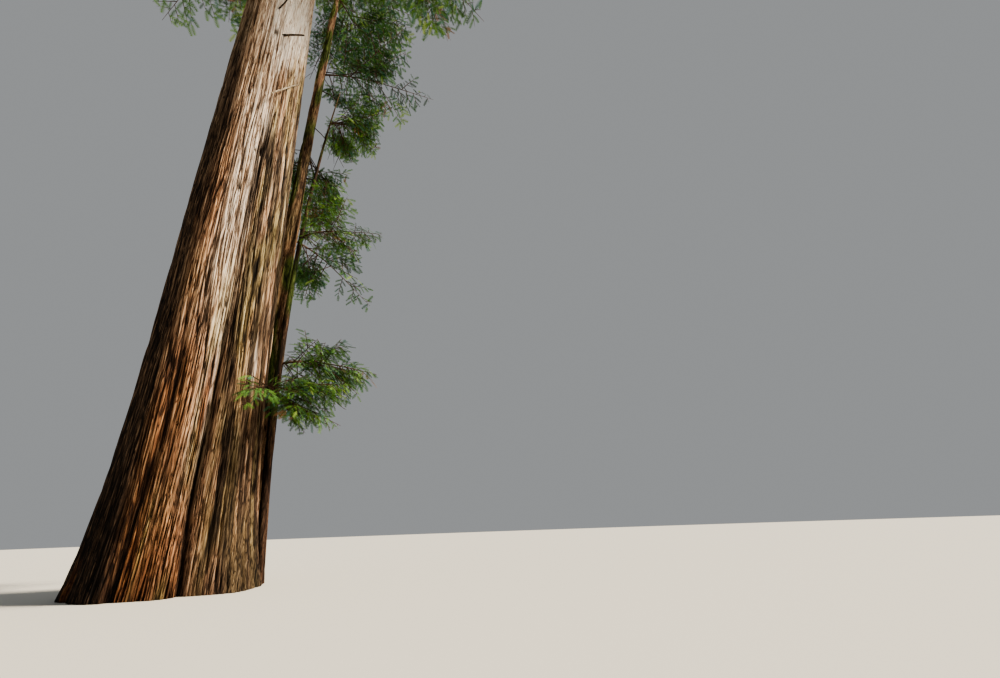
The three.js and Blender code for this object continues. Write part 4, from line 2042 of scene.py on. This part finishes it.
    def grow_sprays(
        self, growth: Growth, mass: Mass, twigs: SideTwigs, fits: Array, over: Array, rng: np.random.Generator
    ) -> None:
        """Grows sprays along a frond's side twigs, to either side in turn, and one at each end.

        Args:
            growth: Takes the sprays.
            mass: The mass, whose space the sprays keep to.
            twigs: The side twigs.
            fits: Which of them stand.
            over: The direction out of the frond's flat upper face.
            rng: The mass's random source.
        """
        fine, rule = FINENESS[mass.kind], self.spray_rule
        dead = rng.random(len(twigs.at)) < rule.dead_share
        tone = rng.normal(0, rule.frond_play)
        number = np.maximum(1, np.round(twigs.reach / fine.spray_step)).astype(int)
        for j in range(number.max() + 1):
            here = (j <= number) & fits
            n = int(here.sum())
            if not n:
                continue
            last = (j == number)[here]
            order = j + rule.first_at + rng.uniform(0, rule.step_play, n)
            f = np.where(last, rule.last_at, order / (number[here] + rule.run_on))
            at, out = twigs.points(f, here), twigs.out[here]
            plane = unit(over + rng.normal(0, rule.plane_play, (n, 3)))
            across = unit(np.cross(plane, out))
            swing = np.radians(rng.uniform(*rule.turn, n)) * (1 if j % 2 == 0 else -1) * twigs.hand[here]
            swing = np.where(last, swing * rule.last_turn, swing)
            along = out * np.cos(swing)[:, None] + across * np.sin(swing)[:, None]
            along = unit(along - UP * rng.uniform(*rule.hang, (n, 1)))
            longer = np.where(last, rule.last_longer, mix(*rule.length, f))
            length = fine.spray * rng.uniform(*rule.length_play, n) * longer
            kept = self.inside(mass, at) & self.inside(mass, at + along * length[:, None])
            along_frond = rule.fresher_along_frond * (twigs.at[here] - rule.even_at)
            value = fine.tint_shift + tone + along_frond + rule.fresher_along_twig * (f - 0.5)
            tint = np.digitize(value + rng.normal(0, rule.tint_play, n), rule.tint_steps)
            tint = np.where(rng.random(n) < rule.cool_share, Tint.COOL.value, tint)
            tint = np.where(dead[here], Tint.DEAD.value, tint)
            lies = unit(np.cross(plane, along))
            growth.sprays.append((at[kept], along[kept], lies[kept], length[kept], tint[kept]))

    def grow_shoots(self, growth: Growth, rng: np.random.Generator) -> None:
        """Grows short shoots round the leader, up to its tip.

        Args:
            growth: Takes the shoots and their sprays.
            rng: The source of their play.
        """
        rule, top = self.shoots, self.trunk.height
        for number, z in enumerate(np.arange(rule.low, top, rule.step)):
            bearing = number * GOLDEN_ANGLE + rng.uniform(-rule.bearing_play, rule.bearing_play)
            near_tip = smooth(rule.tip_from, top, z)
            slope = mix(*rule.slope, near_tip)
            length = mix(*rule.length, near_tip) * rng.uniform(*rule.length_play)
            out = sloping(bearing, slope)
            length = min(length, (top - self.below_top - z) / out[2])
            start = self.trunk.middle(z)
            line = start + out * (length * np.array((0.0, 0.5, 1.0)))[:, None]
            growth.twigs.append((line[None], np.array(rule.radii)[None]))
            at = rng.uniform(*rule.along, rule.sprays)
            at[-1] = 1.0
            hand = np.where(np.arange(rule.sprays) % 2, 1, -1)
            turn = hand * rng.uniform(*rule.turn, rule.sprays) * (at < 1)
            roots = start + out * (length * at)[:, None]
            alongs = np.array([sloping(bearing + t, slope) for t in turn])
            lengths = length * rule.spray_share * rng.uniform(*rule.spray_play, rule.sprays)
            room = (top - rule.clear_of_top - roots[:, 2]) / np.maximum(alongs[:, 2], 0.01)
            lengths = np.minimum(lengths, room)
            tints = rng.choice((Tint.MID.value, Tint.FRESH.value, Tint.TIP.value), rule.sprays)
            kept = lengths > rule.least
            sides = unit(np.cross(UP, alongs))
            growth.sprays.append((roots[kept], alongs[kept], sides[kept], lengths[kept], tints[kept]))

    def grow(self, mass: Mass) -> Growth:
        """Grows one mass: its stem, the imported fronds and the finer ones.

        Args:
            mass: The mass.

        Returns:
            What it has grown.
        """
        rng = np.random.default_rng(mass.seed)
        growth = Growth(mass.name)
        growth.twigs.append((mass.curve.point(HALVES), mass.radius * mix(1, 0.35, HALVES)))
        for frond in (*self.fronds(mass), *self.finer_fronds(mass, rng)):
            self.grow_frond(growth, mass, frond, rng)
        if mass.name == self.shoots.grown_with:
            self.grow_shoots(growth, rng)
        return growth

    def spray_mesh(self, growths: Sequence[Growth], pattern: SprayPattern) -> bpy.types.Mesh:
        """Joins the sprays of several masses into one mesh.

        Args:
            growths: What the masses grew.
            pattern: The spray that each is drawn with.

        Returns:
            The mesh.
        """
        template, triangles = pattern.template()
        roots, alongs, sides, lengths, tints = gathered(entry for g in growths for entry in g.sprays)
        basis = np.stack((alongs, sides, np.cross(alongs, sides)), 1) * lengths[:, None, None]
        points = roots[:, None] + np.einsum("vk,nkc->nvc", template, basis)
        faces = triangles[None] + (np.arange(len(roots)) * len(template))[:, None, None]
        return triangle_mesh(points.reshape(-1, 3), faces.reshape(-1, 3), np.repeat(tints, len(triangles)))

    def build_kind(
        self, kind: Kind, sprays: Sequence[bpy.types.Material], twig: bpy.types.Material
    ) -> None:
        """Grows and builds the masses of one kind.

        Args:
            kind: The kind.
            sprays: The tints of its needles.
            twig: The finish of its twigs.
        """
        fine = FINENESS[kind]
        pattern = SprayPattern(fine.pairs, fine.needle_length, fine.needle_width)
        per_spray = len(pattern.template()[1])
        growths = [self.grow(mass) for mass in self.masses if mass.kind is kind]
        groups: list[list[Growth]] = [[]]
        for growth in growths:
            full = sum(g.spray_count for g in groups[-1]) + growth.spray_count
            if full * per_spray > MOST_TRIANGLES:
                groups.append([])
            groups[-1].append(growth)
        for number, group in enumerate(groups, 1):
            names = [g.name for g in group]
            piece(self.spray_mesh(group, pattern), f"{kind.value}_sprays_{number}", sprays, names)
        mesh = twig_mesh(*gathered(entry for g in growths for entry in g.twigs))
        piece(mesh, f"{kind.value}_twigs", [twig], [g.name for g in growths])


def twig_mesh(lines: Array, radii: Array, sides: int = 3) -> bpy.types.Mesh:
    """Joins many thin twigs into one mesh.

    Args:
        lines: For each twig, the points of its middle line.
        radii: Its radius at each of them.
        sides: How many sides a twig has.

    Returns:
        The mesh, each twig closed at both ends.
    """
    count, stations = radii.shape
    side, over = beside(unit(np.gradient(lines, axis=1)))
    angles = np.arange(sides) * 2 * np.pi / sides
    ring = side[:, :, None] * np.cos(angles)[:, None] + over[:, :, None] * np.sin(angles)[:, None]
    points = lines[:, :, None] + ring * radii[:, :, None, None]
    faces = []
    for k in range(stations - 1):
        for i in range(sides):
            a, b = k * sides + i, k * sides + (i + 1) % sides
            faces += [(a, b, b + sides), (a, b + sides, a + sides)]
    last = (stations - 1) * sides
    faces += [(0, i + 1, i) for i in range(1, sides - 1)]
    faces += [(last, last + i, last + i + 1) for i in range(1, sides - 1)]
    each = np.array(faces)
    triangles = each[None] + (np.arange(count) * stations * sides)[:, None, None]
    return triangle_mesh(points.reshape(-1, 3), triangles.reshape(-1, 3), np.zeros(count * len(each)))


@dataclass
class BareTwigs:
    """Thin dead twigs that hang from the second stem: place along it, bearing, rise and length of each."""

    stem: YoungStem
    places: tuple[tuple[float, float, float, float], ...] = (
        (0.655, -22, 0.15, 1.25),
        (0.628, -8, -0.1, 0.75),
        (0.575, 30, 0.1, 0.9),
        (0.5, -30, 0.0, 0.6),
        (0.44, 40, 0.1, 0.7),
        (0.7, 100, 0.2, 0.9),
    )
    thick: tuple[float, float] = (0.011, 0.003)
    side_count: int = 5
    side_at: tuple[float, float] = (0.3, 0.95)
    side_turn: tuple[float, float] = (35, 70)
    side_slope: tuple[float, float] = (-0.9, 0.1)
    side_length: tuple[float, float] = (0.15, 0.32)
    side_radii: tuple[float, float, float] = (0.005, 0.004, 0.002)
    side_fall: float = 0.04
    bend_at: float = 0.55
    droop: float = 0.45
    seed: int = 77

    def build(self, finish: bpy.types.Material) -> None:
        """Builds the twigs, each with a few side twigs, as one piece.

        Args:
            finish: The dead wood's material.
        """
        rng = np.random.default_rng(self.seed)
        lines, radii = [], []
        for at, bearing, rise, length in self.places:
            start, along = self.stem.curve.point(at), sloping(bearing, rise)
            tip = start + along * length - UP * self.droop * length
            curve = Curve(start, start + along * length * self.bend_at, tip)
            lines.extend(curve.point(HALVES))
            radii.extend(mix(*self.thick, HALVES))
            for t in rng.uniform(*self.side_at, self.side_count):
                turn = bearing + rng.uniform(*self.side_turn) * rng.choice((-1, 1))
                out = sloping(turn, rng.uniform(*self.side_slope)) * length * rng.uniform(*self.side_length)
                root = curve.point(t)
                lines.append(np.array((root, root + out * 0.5, root + out - UP * self.side_fall)))
                radii.append(np.array(self.side_radii))
        mesh = twig_mesh(np.array(lines), np.array(radii), sides=5)
        piece(mesh, "bare_dead_twigs", [finish], [])


# Stage


@dataclass
class Stage:
    """A pale floor, soft studio light and a camera that looks up past the trunk."""

    floor_radius: float = 90.0
    floor_drop: float = 0.003
    camera_place: tuple[float, float, float] = (0.0, -7.0, 0.55)
    heading: float = 34.0
    pitch: float = 22.8
    roll: float = 2.0
    lens: float = 16.2
    sensor: float = 36.0
    sees_to: float = 400.0
    key_bearing: float = -34.0
    key_height: float = 48.0
    key_energy: float = 6.4
    key_width: float = 9.0
    sky_strength: float = 0.34

    def build_floor(self) -> None:
        """Lays the floor just under the cut, so that the two don't share a plane."""
        bm = bmesh.new()
        bmesh.ops.create_circle(bm, cap_ends=True, segments=96, radius=self.floor_radius)
        for vertex in bm.verts:
            vertex.co.z = -self.floor_drop
        mesh = bpy.data.meshes.new("floor")
        bm.to_mesh(mesh)
        bm.free()
        floor = bpy.data.objects.new("floor", mesh)
        mesh.materials.append(PlainFinish("pale_paper_floor", 0xD9D6CF, 0.9, 0.2).make())
        bpy.context.scene.collection.objects.link(floor)

    def build_light(self) -> None:
        """Lights the tree softly from all round, and more strongly from above its right front."""
        world = bpy.data.worlds.new("soft_studio")
        world.use_nodes = True
        world.node_tree.nodes.clear()
        sky = {"Color": linear(0xE9ECEE), "Strength": self.sky_strength}
        back = add_node(world.node_tree, "Background", sky)
        add_node(world.node_tree, "OutputWorld", {"Surface": back.outputs[0]})
        bpy.context.scene.world = world
        lamp = bpy.data.lights.new("key", "SUN")
        lamp.energy, lamp.angle = self.key_energy, math.radians(self.key_width)
        lamp.color = linear(0xFFF2DC)[:3]
        light = bpy.data.objects.new("key", lamp)
        bpy.context.scene.collection.objects.link(light)
        rotation = Matrix.Rotation(math.radians(self.key_bearing + 90), 4, "Z")
        light.matrix_world = rotation @ Matrix.Rotation(math.radians(90 - self.key_height), 4, "X")

    def build_camera(self) -> None:
        """Sets the camera where the photograph was taken from, by the trunk's own measures."""
        turn, pitch, roll = (math.radians(a) for a in (self.heading, self.pitch, self.roll))
        forward = np.array((math.sin(turn), math.cos(turn), 0.0))
        ahead = forward * math.cos(pitch) + UP * math.sin(pitch)
        right = np.array((math.cos(turn), -math.sin(turn), 0.0))
        above = np.cross(right, ahead)
        across = right * math.cos(roll) - above * math.sin(roll)
        above = right * math.sin(roll) + above * math.cos(roll)
        data = bpy.data.cameras.new("camera")
        data.lens, data.sensor_width, data.clip_end = self.lens, self.sensor, self.sees_to
        camera = bpy.data.objects.new("camera", data)
        bpy.context.scene.collection.objects.link(camera)
        columns = np.stack((across, above, -ahead), 1)
        camera.matrix_world = Matrix.Translation(self.camera_place) @ Matrix(columns.tolist()).to_4x4()
        bpy.context.scene.camera = camera

    def build(self) -> None:
        """Builds the camera, the floor and the lights, with the photograph's firm contrast."""
        bpy.context.scene.view_settings.look = "AgX - Medium High Contrast"
        self.build_camera()
        self.build_floor()
        self.build_light()


def main() -> None:
    """Builds the tree and its stage in order."""
    logging.basicConfig(level=logging.INFO, format="%(name)s: %(message)s")
    Stage().build()
    trunk = Trunk()
    second = YoungStem(
        name="second_stem",
        foot=(0.8, 0.3, 0.0),
        middle=(0.64, 0.2, 6.5),
        tip=(0.9, 0.33, 17.0),
        radius=0.165,
        tip_radius=0.012,
        taper=0.75,
        sides=72,
        rings=260,
        seed=41,
        slot=Slot.MOSSY_BARK,
        moss_share=0.62,
        moss_from=(-1.0, 0.0),
        damp=0.55,
        less_dark_foot=0.75,
    )
    sprout = YoungStem(
        name="sprout_stem",
        foot=(0.965, 0.05, 0.0),
        middle=(0.77, 0.04, 4.3),
        tip=(1.06, 0.06, 8.8),
        radius=0.062,
        tip_radius=0.008,
        taper=0.6,
        sides=32,
        rings=160,
        seed=61,
        slot=Slot.YOUNG_BARK,
        moss_share=0.5,
        moss_from=(1.6, 2.8),
        damp=0.75,
        less_dark_foot=0.0,
    )
    crown = Crown(trunk)
    old_bark = OLD_BARK.make()
    trunk.build(old_bark)
    crown.build(old_bark)
    second.build(MOSSY_STEM_BARK.make())
    sprout.build(SPROUT_BARK.make())
    dead_wood = WEATHERED_WOOD.make()
    for number, stub in enumerate(DEAD_STUBS, 1):
        stub.build(number, dead_wood)
    BareTwigs(second).build(DEAD_TWIG.make())
    foliage = Foliage(trunk, crown, second, sprout)
    needles, shade_needles, twig = NEEDLES.make(), SHADE_NEEDLES.make(), TWIG_BARK.make()
    for kind in Kind:
        shaded = kind is Kind.SECOND_STEM
        foliage.build_kind(kind, shade_needles if shaded else needles, twig)


if __name__ == "__main__":
    main()
